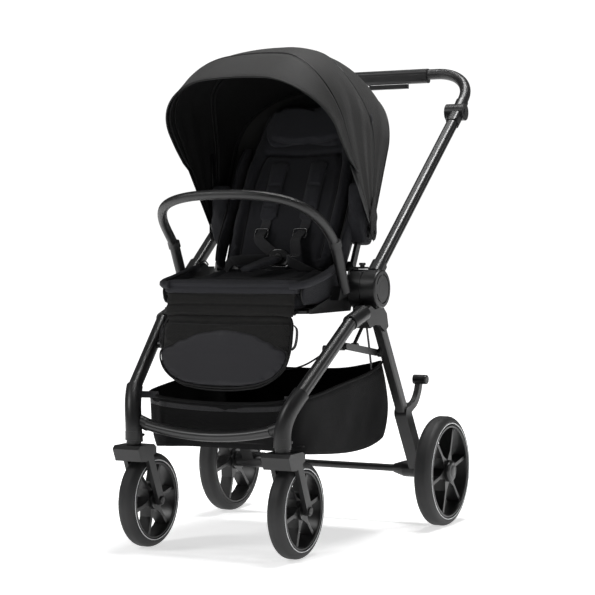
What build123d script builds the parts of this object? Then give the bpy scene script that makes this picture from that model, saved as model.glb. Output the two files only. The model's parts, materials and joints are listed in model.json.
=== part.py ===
"""Baby stroller: a folding chassis on four wheels with a reclining seat unit.

Frame: front faces -Y, up is +Z, +X is the seated child's left. The origin is on the floor,
under the middle of the stroller's bounding box. Units are millimetres and degrees.
"""

import os
from math import atan2, cos, degrees, hypot, radians, sin

from build123d import *

# ---------------------------------------------------------------- driving dimensions
SIDES = ((1, "left"), (-1, "right"))

# Wheels
REAR_WHEEL_R = 120
REAR_WHEEL_X = 268
REAR_WHEEL_W = 40
REAR_AXLE_Y = 141
FRONT_WHEEL_R = 97
FRONT_WHEEL_X = 171
FRONT_WHEEL_W = 37
FRONT_AXLE_Y = -369
TYRE_DEPTH = 17
SPOKES = 6
SWIVEL_TRAIL = 56
SWIVEL_Y = FRONT_AXLE_Y - SWIVEL_TRAIL
STEM_R = 6
AXLE_R = 5
RUN_GAP = 0.05  # radial clearance of a running fit

# Fold hub
HUB_Y, HUB_Z = -110, 527
DRUM_R = 40.5
DRUM_IN, DRUM_OUT = 178, 242
DRUM_SPLIT = 206

# Legs
LEG_TUBE_R = 14
LEG_TOP = (222, -226, 461)
LEG_FOOT = (193, -386, 330)
REAR_LEG_X, REAR_LEG_W = 210, 22
REAR_PIVOT_REACH = 62
COLLAR_Z = 226

# Outline of the arch over the leg joint, and of the arm that carries the rear leg
ARCH = [(-176, 463), (-170, 487), (-156, 493), (-140, 487), (-122, 472), (-118, 464), (-138, 452)]
ARCH += [(-158, 447)]
REAR_ARM = [(-152, 491), (-134, 489), (-118, 484), (-96, 490), (-78, 487), (-62, 474), (-54, 446)]
REAR_ARM += [(-70, 436), (-96, 450), (-134, 454)]

PIN_R = 5
SMALL_PIN_R = 4
HUB_SHAFT_R = 8
CROSS_TUBE_R = 8
BRAKE_PIN_R = 4
PEDAL_PIVOT = (84, 264)
PEDAL_TIP = (146, 319)

# Folding brace, in its own plane beside the legs
BRACE_REAR = (-40, 389)
BRACE_KNEE = (-187, 411)
BRACE_FRONT = (-261, 409)
ROD_LOW = (-140, 409)
ROD_TOP = (-82, 460)
ROD_SLOT_END = (-102, 465)
KNOB_IN = 165
CABLE_R = 2

# Handle
HANDLE_X = 222
HANDLE_TUBE = 24
HANDLE_LINE_LOW = (-92, 570)
TILT_Y, TILT_Z = 349, 920
TILT_R = 19.5
BAR_Y, BAR_Z = 453.5, 1020
BAR_R = 12.5
BAR_CORNER = 95
HOUSING_HALF = 103

# Seat unit
SEAT_PLATE_Z = 484
CUSHION_Z = 494
SEAT_TOP_Z = 532
SEAT_HALF_W = 160
SEAT_FRONT_Y = -322
SEAT_BACK_Y = -112
RECLINE_Y, RECLINE_Z = -109, 540
BACK_LEAN = 27
BACK_PAD = 26
SIDE_IN, SIDE_OUT = 166, 172
SEAT_SIDE = [(-300, 481), (-120, 481), (-98, 520), (-98, 552), (-118, 556), (-160, 526)]
SEAT_SIDE += [(-212, 512), (-300, 490)]
ADAPTER_BUTTON_Y = -110
BACK_LENGTH = 440
LEG_REST_Y, LEG_REST_Z = -318, 487
LEG_REST_FOOT = (-359, 325)
BUMPER_LOW = (-184, 522)
BUMPER_COLLAR = (-226, 614)
BUMPER_X = 191
BUMPER_R = 10
BUMPER_BOW = [(190, -243, 634), (184, -282, 668), (158, -322, 698), (100, -348, 716)]
BUMPER_NOSE = (0, -358, 722)

# Canopy: a rounded box turned about the pivot
CANOPY_Y, CANOPY_Z = -53, 645
CANOPY_R = 402
CANOPY_HALF_W = 198
CANOPY_CORNER = 115
CANOPY_SKIN = 2.6
CANOPY_NEST = 3.2
VISOR_FOOT = 157
CANOPY_ANGLES = {"canopy_rear": (58, 89), "canopy_mid": (86, 113), "canopy_front": (110, 127)}

# Basket
BASKET_HALF_W = 190
BASKET_SKIN = 3
BASKET_CORNER = 40
BASKET_SIDE = [(-372, 317), (-372, 228), (-345, 208), (-250, 200), (-150, 190)]
BASKET_SIDE += [(-17, 190), (45, 203), (64, 222), (50, 268), (4, 369)]
BASKET_SPACE = [(-369, 500), (-369, 230), (-344, 211), (-250, 203), (-150, 193)]
BASKET_SPACE += [(-18, 193), (43, 206), (60, 223), (47, 267), (1, 370), (1, 500)]

os.makedirs("parts", exist_ok=True)


# ---------------------------------------------------------------- helpers
def finish(piece, name):
    """Label a finished piece and write it as its own node."""
    piece.part.label = name
    export_step(piece.part, f"parts/{name}.step")


def between(start, end, share):
    """The point a share of the way from start to end."""
    return tuple(a + (b - a) * share for a, b in zip(start, end))


def plane_at(start, end):
    """A plane at start whose normal points to end."""
    return Plane(origin=start, z_dir=Vector(*end) - Vector(*start))


def rod(start, end, radius, mode=Mode.ADD):
    """A round bar from start to end."""
    with BuildSketch(plane_at(start, end)) as section:
        Circle(radius)
    extrude(section.sketch, amount=(Vector(*end) - Vector(*start)).length, mode=mode)


def x_cylinder(y, z, x0, x1, radius, mode=Mode.ADD):
    """A cylinder along X from x0 to x1."""
    with BuildSketch(Plane.YZ.offset(min(x0, x1))) as outline:
        with Locations((y, z)):
            Circle(radius)
    extrude(outline.sketch, amount=abs(x1 - x0), mode=mode)


def x_plate(points, x0, x1, mode=Mode.ADD):
    """A flat plate with a straight-sided outline in YZ, from x0 to x1."""
    with BuildSketch(Plane.YZ.offset(min(x0, x1))) as outline:
        with BuildLine():
            Polyline(*points, close=True)
        make_face()
    extrude(outline.sketch, amount=abs(x1 - x0), mode=mode)


def x_link(start, end, width, x0, x1, mode=Mode.ADD):
    """A flat link with round ends between two YZ points, from x0 to x1."""
    middle = between(start, end, 0.5)
    length = hypot(end[0] - start[0], end[1] - start[1])
    angle = degrees(atan2(end[1] - start[1], end[0] - start[0]))
    with BuildSketch(Plane.YZ.offset(min(x0, x1))) as outline:
        with Locations(Location((middle[0], middle[1], 0), (0, 0, angle))):
            SlotCenterToCenter(length, width)
    extrude(outline.sketch, amount=abs(x1 - x0), mode=mode)


def along(start, angle, reach):
    """The YZ point at a reach from start, with the angle counted from +Y towards +Z."""
    return (start[0] + reach * cos(radians(angle)), start[1] + reach * sin(radians(angle)))


LEG_ANGLE = degrees(atan2(REAR_WHEEL_R - HUB_Z, REAR_AXLE_Y - HUB_Y))
REAR_LEG_IN = REAR_LEG_X - REAR_LEG_W / 2
REAR_LEG_OUT = REAR_LEG_X + REAR_LEG_W / 2
REAR_PIVOT = along((HUB_Y, HUB_Z), LEG_ANGLE, REAR_PIVOT_REACH)
REAR_LEG_END = along((HUB_Y, HUB_Z), LEG_ANGLE, 362)
REAR_FOOT_TOP = along((HUB_Y, HUB_Z), LEG_ANGLE, 322)
BRAKE_PIN = along((HUB_Y, HUB_Z), LEG_ANGLE, 428)
HANDLE_ANGLE = degrees(atan2(TILT_Z - HANDLE_LINE_LOW[1], TILT_Y - HANDLE_LINE_LOW[0]))


# ---------------------------------------------------------------- wheels
def build_wheel(radius, width, centre, name):
    """A solid tyre and a six-spoke wheel body on an X axle through centre."""
    x, y, z = centre
    rim_r = radius - TYRE_DEPTH
    with BuildPart() as tyre:
        with BuildSketch(Plane(origin=(x, y, z), x_dir=(1, 0, 0), z_dir=(0, 1, 0))) as tread:
            with Locations((0, radius - TYRE_DEPTH / 2 - 3)):
                Rectangle(width, TYRE_DEPTH + 6)
            fillet(tread.vertices().group_by(Axis.Y)[-1], radius=TYRE_DEPTH * 0.8)
        revolve(axis=Axis((x, y, z), (1, 0, 0)))
        x_cylinder(y, z, x - width, x + width, rim_r, Mode.SUBTRACT)
    finish(tyre, name.replace("wheel", "tyre"))
    with BuildPart() as body:
        x_cylinder(y, z, x - width * 0.42, x + width * 0.42, rim_r)
        x_cylinder(y, z, x - width, x + width, rim_r - 7, Mode.SUBTRACT)
        x_cylinder(y, z, x - width * 0.5, x + width * 0.5, radius * 0.2)
        with BuildSketch(Plane.YZ.offset(x - width * 0.36)):
            with Locations((y, z)):
                with PolarLocations(0, SPOKES, start_angle=12):
                    Polygon(
                        (radius * 0.12, radius * 0.12),
                        (radius * 0.38, 3.5),
                        (rim_r - 5, 4),
                        (rim_r - 5, -4),
                        (radius * 0.38, -3.5),
                        (radius * 0.12, -radius * 0.12),
                        align=None,
                    )
        extrude(amount=width * 0.72)
        x_cylinder(y, z, x - width, x + width, AXLE_R + RUN_GAP, Mode.SUBTRACT)
    finish(body, name)


for side, tag in SIDES:
    rear_centre = (side * REAR_WHEEL_X, REAR_AXLE_Y, REAR_WHEEL_R)
    front_centre = (side * FRONT_WHEEL_X, FRONT_AXLE_Y, FRONT_WHEEL_R)
    build_wheel(REAR_WHEEL_R, REAR_WHEEL_W, rear_centre, f"rear_wheel_{tag}")
    build_wheel(FRONT_WHEEL_R, FRONT_WHEEL_W, front_centre, f"front_wheel_{tag}")

# ---------------------------------------------------------------- front forks
for side, tag in SIDES:
    fork_x = side * FRONT_WHEEL_X
    with BuildPart() as fork:
        x_plate(
            [(-457, 209), (-446, 184), (-425, 182), (-388, 198), (-388, 210), (-398, 216), (-450, 216)],
            fork_x - 31,
            fork_x + 31,
        )
        for arm in (-1, 1):
            inner, outer = fork_x + arm * 21.5, fork_x + arm * 31
            x_link((FRONT_AXLE_Y, FRONT_WHEEL_R), (-414, 200), 21, inner, outer)
        x_cylinder(FRONT_AXLE_Y, FRONT_WHEEL_R, fork_x - 33, fork_x + 33, AXLE_R)
        rod((fork_x, SWIVEL_Y, 205), (fork_x, SWIVEL_Y, COLLAR_Z - 0.4), 15)
        rod((fork_x, SWIVEL_Y, 215), (fork_x, SWIVEL_Y, 252), STEM_R)
    finish(fork, f"front_fork_{tag}")
    with BuildPart() as lock:
        with BuildSketch(Plane.XY.offset(219.5)):
            with Locations((fork_x, SWIVEL_Y + 21.5)):
                Rectangle(13, 6)
        extrude(amount=16.5)
        with BuildSketch(Plane.XY.offset(231)):
            with Locations((fork_x, SWIVEL_Y + 26)):
                Rectangle(13, 10)
        extrude(amount=5)
    finish(lock, f"swivel_lock_{tag}")

# ---------------------------------------------------------------- front frame
for side, tag in SIDES:
    top = (side * LEG_TOP[0], *LEG_TOP[1:])
    foot = (side * LEG_FOOT[0], *LEG_FOOT[1:])
    with BuildPart() as leg:
        rod(top, foot, LEG_TUBE_R)
        # bracket and pin of the folding brace
        x_link((-283, 411), BRACE_FRONT, 15, side * 190.6, side * 206)
        x_cylinder(*BRACE_FRONT, side * 183, side * 196, SMALL_PIN_R)
    finish(leg, f"front_leg_{tag}")

    collar = (side * FRONT_WHEEL_X, SWIVEL_Y, COLLAR_Z)
    with BuildPart() as knuckle:
        with BuildLine():
            spine = Bezier(
                foot,
                between(foot, (side * 178, -424, 292), 0.8),
                (side * 171, SWIVEL_Y, 275),
                (side * 171, SWIVEL_Y, COLLAR_Z + 16),
            )
        with BuildSketch(plane_at(foot, between(foot, (side * 178, -424, 292), 0.8))):
            Circle(LEG_TUBE_R + 3)
        sweep(path=spine)
        rod(collar, (side * 171, SWIVEL_Y, COLLAR_Z + 18), 17.5)
        rod((side * 175, -414, 268), (side * 142, -415, 256), 13)
        bore_low, bore_top = ((side * FRONT_WHEEL_X, SWIVEL_Y, z) for z in (COLLAR_Z - 1, 253))
        rod(bore_low, bore_top, STEM_R + RUN_GAP, Mode.SUBTRACT)
    finish(knuckle, f"knuckle_{tag}")

with BuildPart() as crossbar:
    with BuildLine():
        bow = ThreePointArc((-141.9, -415, 256), (0, -415, 240), (141.9, -415, 256))
    with BuildSketch(Plane(origin=bow @ 0, z_dir=bow % 0)):
        Ellipse(11, 14)
    sweep(path=bow)
finish(crossbar, "crossbar")

for side, tag in SIDES:
    with BuildPart() as node:
        # inner half of the fold drum, with the bore of its shaft
        x_cylinder(HUB_Y, HUB_Z, side * DRUM_IN, side * DRUM_SPLIT, DRUM_R)
        x_cylinder(HUB_Y, HUB_Z, side * 186, side * 210, HUB_SHAFT_R + RUN_GAP, Mode.SUBTRACT)
        # plate that carries the arch, beside the turning half of the drum
        x_plate(
            [(-128, 500), (-100, 500), (-104, 478), (-122, 474), (-166, 452), (-184, 470)],
            side * 199,
            side * (DRUM_SPLIT - 0.5),
        )
        # arch: a sleeve for the front leg that turns down into the rear arm
        rod((side * 222, -226.5, 461), (side * 225, -168, 479), LEG_TUBE_R + 2.5)
        x_plate(ARCH, side * 202, side * 236)
        # rear arm: a cheek that carries the pin of the rear leg
        x_plate(REAR_ARM, side * 221.5, side * 229)
        x_cylinder(HUB_Y, HUB_Z, side * (DRUM_SPLIT - 0.5), side * 250, DRUM_R + 0.6, Mode.SUBTRACT)
        x_cylinder(*REAR_PIVOT, side * 199, side * 225, PIN_R)
        # guide plate with the slot that the pull rod's pin slides in
        x_plate([(-122, 492), (-66, 492), (-66, 448), (-122, 448)], side * 178, side * 183.5)
        x_link(ROD_TOP, ROD_SLOT_END, 13, side * 177, side * 184, Mode.SUBTRACT)
    finish(node, f"frame_node_{tag}")

# ---------------------------------------------------------------- rear frame
for side, tag in SIDES:
    with BuildPart() as rear_leg:
        x_link(REAR_PIVOT, REAR_LEG_END, REAR_LEG_W, side * REAR_LEG_IN, side * REAR_LEG_OUT)
        fillet(rear_leg.edges().filter_by(Axis.X, reverse=True), radius=4)
        x_cylinder(*BRACE_REAR, side * 198.6, side * 206, 9)
        x_cylinder(*BRACE_REAR, side * 186, side * 206, SMALL_PIN_R)
        x_cylinder(*REAR_PIVOT, side * 190, side * 230, PIN_R + RUN_GAP, Mode.SUBTRACT)
    finish(rear_leg, f"rear_leg_{tag}")

    with BuildPart() as foot:
        x_link(REAR_FOOT_TOP, (REAR_AXLE_Y, REAR_WHEEL_R), 28, side * 196, side * 224.5)
        # axle housing and the collar that takes the cross tube
        x_cylinder(REAR_AXLE_Y, REAR_WHEEL_R, side * 178, side * 245, 18)
        with BuildSketch(Plane.YZ.offset(side * 178)):
            with Locations((REAR_AXLE_Y, REAR_WHEEL_R)):
                Circle(18)
        with BuildSketch(Plane.YZ.offset(side * 153)):
            with Locations((REAR_AXLE_Y, REAR_WHEEL_R)):
                Circle(10)
        loft()
        x_cylinder(REAR_AXLE_Y, REAR_WHEEL_R, side * 245, side * 287, AXLE_R)
        # boss of the brake pin
        x_cylinder(*BRAKE_PIN, side * 215, side * 236, 9)
        # ears of the brake pedal
        for ear_x in (199.5, 217.7):
            ear_foot = between(REAR_FOOT_TOP, PEDAL_PIVOT, 0.2)
            x_link(ear_foot, PEDAL_PIVOT, 17, side * ear_x, side * (ear_x + 5))
        x_cylinder(*PEDAL_PIVOT, side * 200, side * 222, SMALL_PIN_R)
        # socket of the leg, bore of the brake pin and socket of the cross tube
        leg_in, leg_out = side * REAR_LEG_IN, side * REAR_LEG_OUT
        x_link(REAR_PIVOT, REAR_LEG_END, REAR_LEG_W, leg_in, leg_out, Mode.SUBTRACT)
        x_cylinder(*BRAKE_PIN, side * 222, side * 240, BRAKE_PIN_R + RUN_GAP, Mode.SUBTRACT)
        x_cylinder(REAR_AXLE_Y, REAR_WHEEL_R, side * 150, side * 176, CROSS_TUBE_R, Mode.SUBTRACT)
    finish(foot, f"rear_foot_{tag}")

    with BuildPart() as brake_pin:
        x_cylinder(*BRAKE_PIN, side * 226, side * 241, BRAKE_PIN_R)
    finish(brake_pin, f"brake_pin_{tag}")

with BuildPart() as rear_axle:
    x_cylinder(REAR_AXLE_Y, REAR_WHEEL_R, -176, 176, CROSS_TUBE_R)
finish(rear_axle, "rear_axle")

with BuildPart() as pedal:
    with BuildSketch(Plane.YZ.offset(205)):
        with BuildLine():
            arm = Spline(PEDAL_PIVOT, (112, 268), (130, 283), (PEDAL_TIP[0] - 2, PEDAL_TIP[1] - 8))
        trace(line_width=15)
        with Locations(PEDAL_PIVOT):
            Circle(9)
    extrude(amount=12)
    x_cylinder(*PEDAL_TIP, 199, 231, 10.5)
    fillet(pedal.edges().filter_by(GeomType.CIRCLE).sort_by(Axis.X)[-1], radius=3)
    x_cylinder(*PEDAL_PIVOT, 199, 222, SMALL_PIN_R + RUN_GAP, Mode.SUBTRACT)
finish(pedal, "brake_pedal")

# ---------------------------------------------------------------- folding brace
with BuildPart() as front_links:
    for side, tag in SIDES:
        x_link(BRACE_FRONT, BRACE_KNEE, 13, side * 184.5, side * 190)
        x_cylinder(*BRACE_KNEE, side * KNOB_IN, side * 190, 9)
        x_cylinder(*BRACE_FRONT, side * 180, side * 195, SMALL_PIN_R + RUN_GAP, Mode.SUBTRACT)
finish(front_links, "brace_front_links")

with BuildPart() as rear_links:
    for side, tag in SIDES:
        x_link(BRACE_REAR, BRACE_KNEE, 14, side * 192, side * 198)
        x_cylinder(*ROD_LOW, side * 184, side * 198, 6.5)
        rod((side * 188, *ROD_LOW), (side * 188, *ROD_TOP), 3.8)
        x_cylinder(*ROD_TOP, side * 178.5, side * 192, 4)
        x_cylinder(*BRACE_REAR, side * 180, side * 200, SMALL_PIN_R + RUN_GAP, Mode.SUBTRACT)
finish(rear_links, "brace_rear_links")

# Release cable: straight runs joined by tangent arcs, hanging between the two knobs
cable_points = [
    (KNOB_IN - 0.8, BRACE_KNEE[0], 410),
    (131, BRACE_KNEE[0], 387),
    (93, BRACE_KNEE[0], 366),
    (54, BRACE_KNEE[0], 358),
    (-54, BRACE_KNEE[0], 357),
    (-94, BRACE_KNEE[0], 365),
    (-132, BRACE_KNEE[0], 387),
    (0.8 - KNOB_IN, BRACE_KNEE[0], 410),
]


def corner_radii(points):
    """The largest arc that each corner of a cord's route has room for."""
    radii = []
    for before, here, after in zip(points, points[1:], points[2:]):
        run_in, run_out = Vector(*here) - Vector(*before), Vector(*after) - Vector(*here)
        turn = radians(run_in.get_angle(run_out))
        shorter = min(run_in.length, run_out.length)
        radii.append(0.45 * shorter * cos(turn / 2) / sin(turn / 2))
    return radii


cable_radii = corner_radii(cable_points)
with BuildPart() as cable:
    with BuildLine():
        route = FilletPolyline(*cable_points, radius=cable_radii)
    with BuildSketch(Plane(origin=route @ 0, z_dir=route % 0)):
        Circle(CABLE_R)
    sweep(path=route)
finish(cable, "release_cable")
print("cable radii", [round(r, 1) for r in cable_radii], "length", round(route.length, 1))

with BuildPart() as sheath:
    flat_run = cable_points[3], cable_points[4]
    rod(between(*flat_run, 0.2), between(*flat_run, 0.8), 4)
    rod(*flat_run, CABLE_R + 0.3, Mode.SUBTRACT)
finish(sheath, "cable_sleeve")

# ---------------------------------------------------------------- basket
def basket_block(points, half_width):
    """A block with the basket's side outline and its front corners cut off."""
    with BuildPart() as block:
        x_plate(points, -half_width, half_width)
        chamfer(block.edges().filter_by(Axis.Z).group_by(Axis.Y)[0], length=BASKET_CORNER)
    return block.part


with BuildPart() as basket:
    add(basket_block(BASKET_SIDE, BASKET_HALF_W))
    add(basket_block(BASKET_SPACE, BASKET_HALF_W - BASKET_SKIN), mode=Mode.SUBTRACT)
finish(basket, "basket")

# ---------------------------------------------------------------- handle
for side, tag in SIDES:
    low = (side * HANDLE_X, *along(HANDLE_LINE_LOW, HANDLE_ANGLE, -14))
    high = (side * HANDLE_X, *along((TILT_Y, TILT_Z), HANDLE_ANGLE, -TILT_R - 1))
    tube_plane = Plane(
        origin=low, x_dir=(1, 0, 0), z_dir=(0, cos(radians(HANDLE_ANGLE)), sin(radians(HANDLE_ANGLE)))
    )
    tube_length = (Vector(*high) - Vector(*low)).length
    with BuildPart() as tube:
        with BuildSketch(tube_plane):
            RectangleRounded(HANDLE_TUBE, HANDLE_TUBE, 8)
            with Locations((side * HANDLE_TUBE / 2, 0)):
                Rectangle(3, 5, mode=Mode.SUBTRACT)
        extrude(amount=tube_length)
    finish(tube, f"handle_tube_{tag}")

    with BuildPart() as cap:
        x_cylinder(HUB_Y, HUB_Z, side * (DRUM_SPLIT + 0.5), side * DRUM_OUT, DRUM_R)
        rim_edge = cap.edges().filter_by(GeomType.CIRCLE).sort_by(Axis.X)[-1 if side > 0 else 0]
        fillet(rim_edge, radius=4)
        # raised mouth for the tube
        with BuildSketch(tube_plane.offset(-6)):
            RectangleRounded(HANDLE_TUBE + 6, HANDLE_TUBE + 6, 10)
        extrude(amount=32)
        x_cylinder(HUB_Y, HUB_Z, side * 186.5, side * 220, HUB_SHAFT_R)
        # grip groove of the cap
        with BuildSketch(Plane.YZ.offset(side * DRUM_OUT)):
            with Locations((HUB_Y, HUB_Z)):
                Circle(31)
                Circle(28, mode=Mode.SUBTRACT)
                with Locations((-30, 0)):
                    Rectangle(14, 20, mode=Mode.SUBTRACT)
        extrude(amount=-side * 2, mode=Mode.SUBTRACT)
        with BuildSketch(tube_plane):
            RectangleRounded(HANDLE_TUBE, HANDLE_TUBE, 8)
        extrude(amount=60, mode=Mode.SUBTRACT)
    finish(cap, f"hub_cap_{tag}")

    with BuildPart() as tilt_base:
        x_cylinder(TILT_Y, TILT_Z, side * 195, side * 217.3, TILT_R)
        with BuildSketch(tube_plane.offset(tube_length - 24)):
            RectangleRounded(HANDLE_TUBE + 4, HANDLE_TUBE + 4, 9)
        extrude(amount=34)
        x_cylinder(TILT_Y, TILT_Z, side * 217.3, side * 240, TILT_R + 0.6, Mode.SUBTRACT)
        with BuildSketch(tube_plane):
            RectangleRounded(HANDLE_TUBE, HANDLE_TUBE, 8)
        extrude(amount=tube_length, mode=Mode.SUBTRACT)
        x_cylinder(TILT_Y, TILT_Z, side * 205, side * 226, PIN_R)
    finish(tilt_base, f"tilt_base_{tag}")

BAR_ANGLE = degrees(atan2(BAR_Z - TILT_Z, BAR_Y - TILT_Y))
for side, tag in SIDES:
    start = (side * (HANDLE_X - 0.5), *along((TILT_Y, TILT_Z), BAR_ANGLE, 6))
    bar_start = (side * (HANDLE_X - 0.5), *along((TILT_Y, TILT_Z), BAR_ANGLE, TILT_R + 3))
    with BuildPart() as tilt_hub:
        x_cylinder(TILT_Y, TILT_Z, side * 217.9, side * 240, TILT_R)
        rod(start, (start[0], *along((TILT_Y, TILT_Z), BAR_ANGLE, TILT_R + 16)), BAR_R + 2)
        x_cylinder(TILT_Y, TILT_Z, side * 190, side * 217.9, TILT_R + 0.6, Mode.SUBTRACT)
        rod(bar_start, (bar_start[0], *along((TILT_Y, TILT_Z), BAR_ANGLE, 60)), BAR_R, Mode.SUBTRACT)
        x_cylinder(TILT_Y, TILT_Z, side * 216, side * 230, PIN_R + RUN_GAP, Mode.SUBTRACT)
        x_cylinder(TILT_Y, TILT_Z, side * 233, side * 241, 7.3, Mode.SUBTRACT)
    finish(tilt_hub, f"tilt_hub_{tag}")
    with BuildPart() as tilt_button:
        x_cylinder(TILT_Y, TILT_Z, side * 237.5, side * 241.5, 7)
    finish(tilt_button, f"tilt_button_{tag}")

with BuildPart() as bar:
    low_end = along((TILT_Y, TILT_Z), BAR_ANGLE, TILT_R + 3)
    bar_x = HANDLE_X - 0.5
    with BuildLine():
        bow = FilletPolyline(
            (bar_x, *low_end),
            (bar_x, BAR_Y, BAR_Z),
            (-bar_x, BAR_Y, BAR_Z),
            (-bar_x, *low_end),
            radius=BAR_CORNER,
        )
    with BuildSketch(Plane(origin=bow @ 0, z_dir=bow % 0)):
        Circle(BAR_R)
    sweep(path=bow)
finish(bar, "handle_bar")

with BuildPart() as housing:
    with BuildSketch(Plane.YZ.offset(-HOUSING_HALF)):
        with Locations((BAR_Y, BAR_Z - 3)):
            RectangleRounded(2 * BAR_R, 34, 9)
    extrude(amount=2 * HOUSING_HALF)
    x_cylinder(BAR_Y, BAR_Z, -HOUSING_HALF - 1, HOUSING_HALF + 1, BAR_R + RUN_GAP, Mode.SUBTRACT)
    with BuildSketch(Plane.XY.offset(BAR_Z - 21)):
        with Locations((0, BAR_Y)):
            Rectangle(104, 17)
    extrude(amount=8, mode=Mode.SUBTRACT)
finish(housing, "trigger_housing")

with BuildPart() as trigger:
    with BuildSketch(Plane.XY.offset(BAR_Z - 31)):
        with Locations((0, BAR_Y)):
            RectangleRounded(102, 15, 5)
    extrude(amount=10.5)
finish(trigger, "fold_trigger")

# ---------------------------------------------------------------- seat unit
with BuildPart() as seat_base:
    with BuildSketch(Plane.XY.offset(SEAT_PLATE_Z - 3)) as plate:
        with Locations((0, (SEAT_FRONT_Y + SEAT_BACK_Y) / 2 + 8)):
            RectangleRounded(2 * SIDE_IN + 4, SEAT_BACK_Y - SEAT_FRONT_Y - 16, 30)
    extrude(amount=6)
    for side, tag in SIDES:
        # side plate that carries the recline hinge and the lower arm of the bumper bar
        x_plate(SEAT_SIDE, side * SIDE_IN, side * SIDE_OUT)
        x_plate([(-214, 506), (-176, 512), (-170, 530), (-200, 534)], side * SIDE_OUT, side * 190)
        rod((side * BUMPER_X, *BUMPER_LOW), (side * BUMPER_X, *BUMPER_COLLAR), BUMPER_R + 1)
        x_cylinder(RECLINE_Y, RECLINE_Z, side * 157, side * 172, SMALL_PIN_R)
        x_link((LEG_REST_Y, LEG_REST_Z), (-298, 484), 13, side * 128, side * 134)
    for side, tag in SIDES:
        x_cylinder(LEG_REST_Y, LEG_REST_Z, side * 120, side * 140, SMALL_PIN_R + RUN_GAP, Mode.SUBTRACT)
finish(seat_base, "seat_base")

for side, tag in SIDES:
    with BuildPart() as adapter:
        x_cylinder(HUB_Y, HUB_Z, side * SIDE_OUT, side * (DRUM_IN - 0.5), 27)
        # neck above the hub, and the ledge that carries the release button
        neck = [(-124, 540), (-92, 540), (-92, 572.5), (-124, 572.5)]
        x_plate(neck, side * SIDE_OUT, side * (DRUM_IN - 0.5))
        ledge = [(-124, 568.4), (-96, 568.4), (-96, 572.5), (-124, 572.5)]
        x_plate(ledge, side * SIDE_OUT, side * 203)
        with BuildSketch(Plane.XY.offset(560)):
            with Locations((side * 195, ADAPTER_BUTTON_Y)):
                Circle(5.4)
        extrude(amount=20, mode=Mode.SUBTRACT)
    finish(adapter, f"seat_adapter_{tag}")
    with BuildPart() as button:
        with BuildSketch(Plane.XY.offset(576.2)):
            with Locations((side * 195, ADAPTER_BUTTON_Y)):
                Circle(7)
        extrude(amount=5)
        fillet(button.edges().group_by(Axis.Z)[-1], radius=1.2)
        with BuildSketch(Plane.XY.offset(571.2)):
            with Locations((side * 195, ADAPTER_BUTTON_Y)):
                Circle(5)
        extrude(amount=5.3)
    finish(button, f"adapter_button_{tag}")

with BuildPart() as seat_cushion:
    with BuildSketch(Plane.XY.offset(CUSHION_Z)) as pad:
        with Locations((0, (SEAT_FRONT_Y - 4 + SEAT_BACK_Y - 14) / 2)):
            RectangleRounded(2 * SEAT_HALF_W - 6, SEAT_BACK_Y - SEAT_FRONT_Y - 10, 40)
    extrude(amount=SEAT_TOP_Z - CUSHION_Z)
    fillet(seat_cushion.edges().group_by(Axis.Z)[-1], radius=14)
finish(seat_cushion, "seat_cushion")

# Back rest, drawn on the plane that it leans in: local Y runs up the back, local Z to the front
lean = radians(BACK_LEAN)
back_plane = Plane(origin=(0, RECLINE_Y, RECLINE_Z), x_dir=(1, 0, 0), z_dir=(0, -cos(lean), sin(lean)))
BACK_OUTLINE = [(-142, 16), (142, 16), (150, 120), (148, 290), (122, BACK_LENGTH), (-122, BACK_LENGTH)]
BACK_OUTLINE += [(-148, 290), (-150, 120)]

with BuildPart() as back_shell:
    with BuildSketch(back_plane) as panel:
        with BuildLine():
            Polyline(*BACK_OUTLINE, close=True)
        make_face()
        fillet(panel.vertices().group_by(Axis.Y)[-1], radius=60)
    extrude(amount=-8)
    for side, tag in SIDES:
        # ear of the recline hinge, with the strut that joins it to the panel
        ear = between((RECLINE_Y, RECLINE_Z), (CANOPY_Y, CANOPY_Z), 0.35)
        x_link((RECLINE_Y, RECLINE_Z), ear, 16, side * 159.5, side * 165.4)
        x_link(between((RECLINE_Y, RECLINE_Z), ear, 0.8), ear, 14, side * 138, side * 160)
        # side tube up to the canopy pivot
        x_link(ear, (CANOPY_Y, CANOPY_Z), 16, side * 159.5, side * 167)
        x_cylinder(CANOPY_Y, CANOPY_Z, side * 146, side * 188.4, 13)
        x_cylinder(CANOPY_Y, CANOPY_Z, side * 188, side * 200, PIN_R)
        x_cylinder(RECLINE_Y, RECLINE_Z, side * 150, side * 170, SMALL_PIN_R + RUN_GAP, Mode.SUBTRACT)
finish(back_shell, "back_shell")

with BuildPart() as back_cushion:
    with BuildSketch(back_plane.offset(0.5)) as panel:
        with BuildLine():
            inset = [(0.9 * x, y + 4 * (y < 100) - 12 * (y > 400)) for x, y in BACK_OUTLINE]
            Polyline(*inset, close=True)
        make_face()
        fillet(panel.vertices().group_by(Axis.Y)[-1], radius=52)
    extrude(amount=BACK_PAD)
    fillet(back_cushion.faces().sort_by(lambda f: -f.center().dot(back_plane.z_dir))[0].edges(), radius=10)
finish(back_cushion, "back_cushion")

with BuildPart() as shoulder_straps:
    for side in (1, -1):
        with BuildSketch(back_plane.offset(BACK_PAD + 0.8)):
            with Locations((side * 48, 205)):
                RectangleRounded(44, 150, 12)
            with Locations((side * 48, 95)):
                Rectangle(25, 90)
        extrude(amount=6)
finish(shoulder_straps, "shoulder_straps")

with BuildPart() as buckle:
    with BuildSketch(Plane.XZ.offset(205)):
        with Locations((0, 563)):
            RectangleRounded(52, 60, 10)
    extrude(amount=10)
    with BuildSketch(Plane.XZ.offset(204)):
        with Locations((0, 607)):
            RectangleRounded(58, 40, 12)
    extrude(amount=14)
finish(buckle, "buckle_and_crotch_pad")

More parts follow.
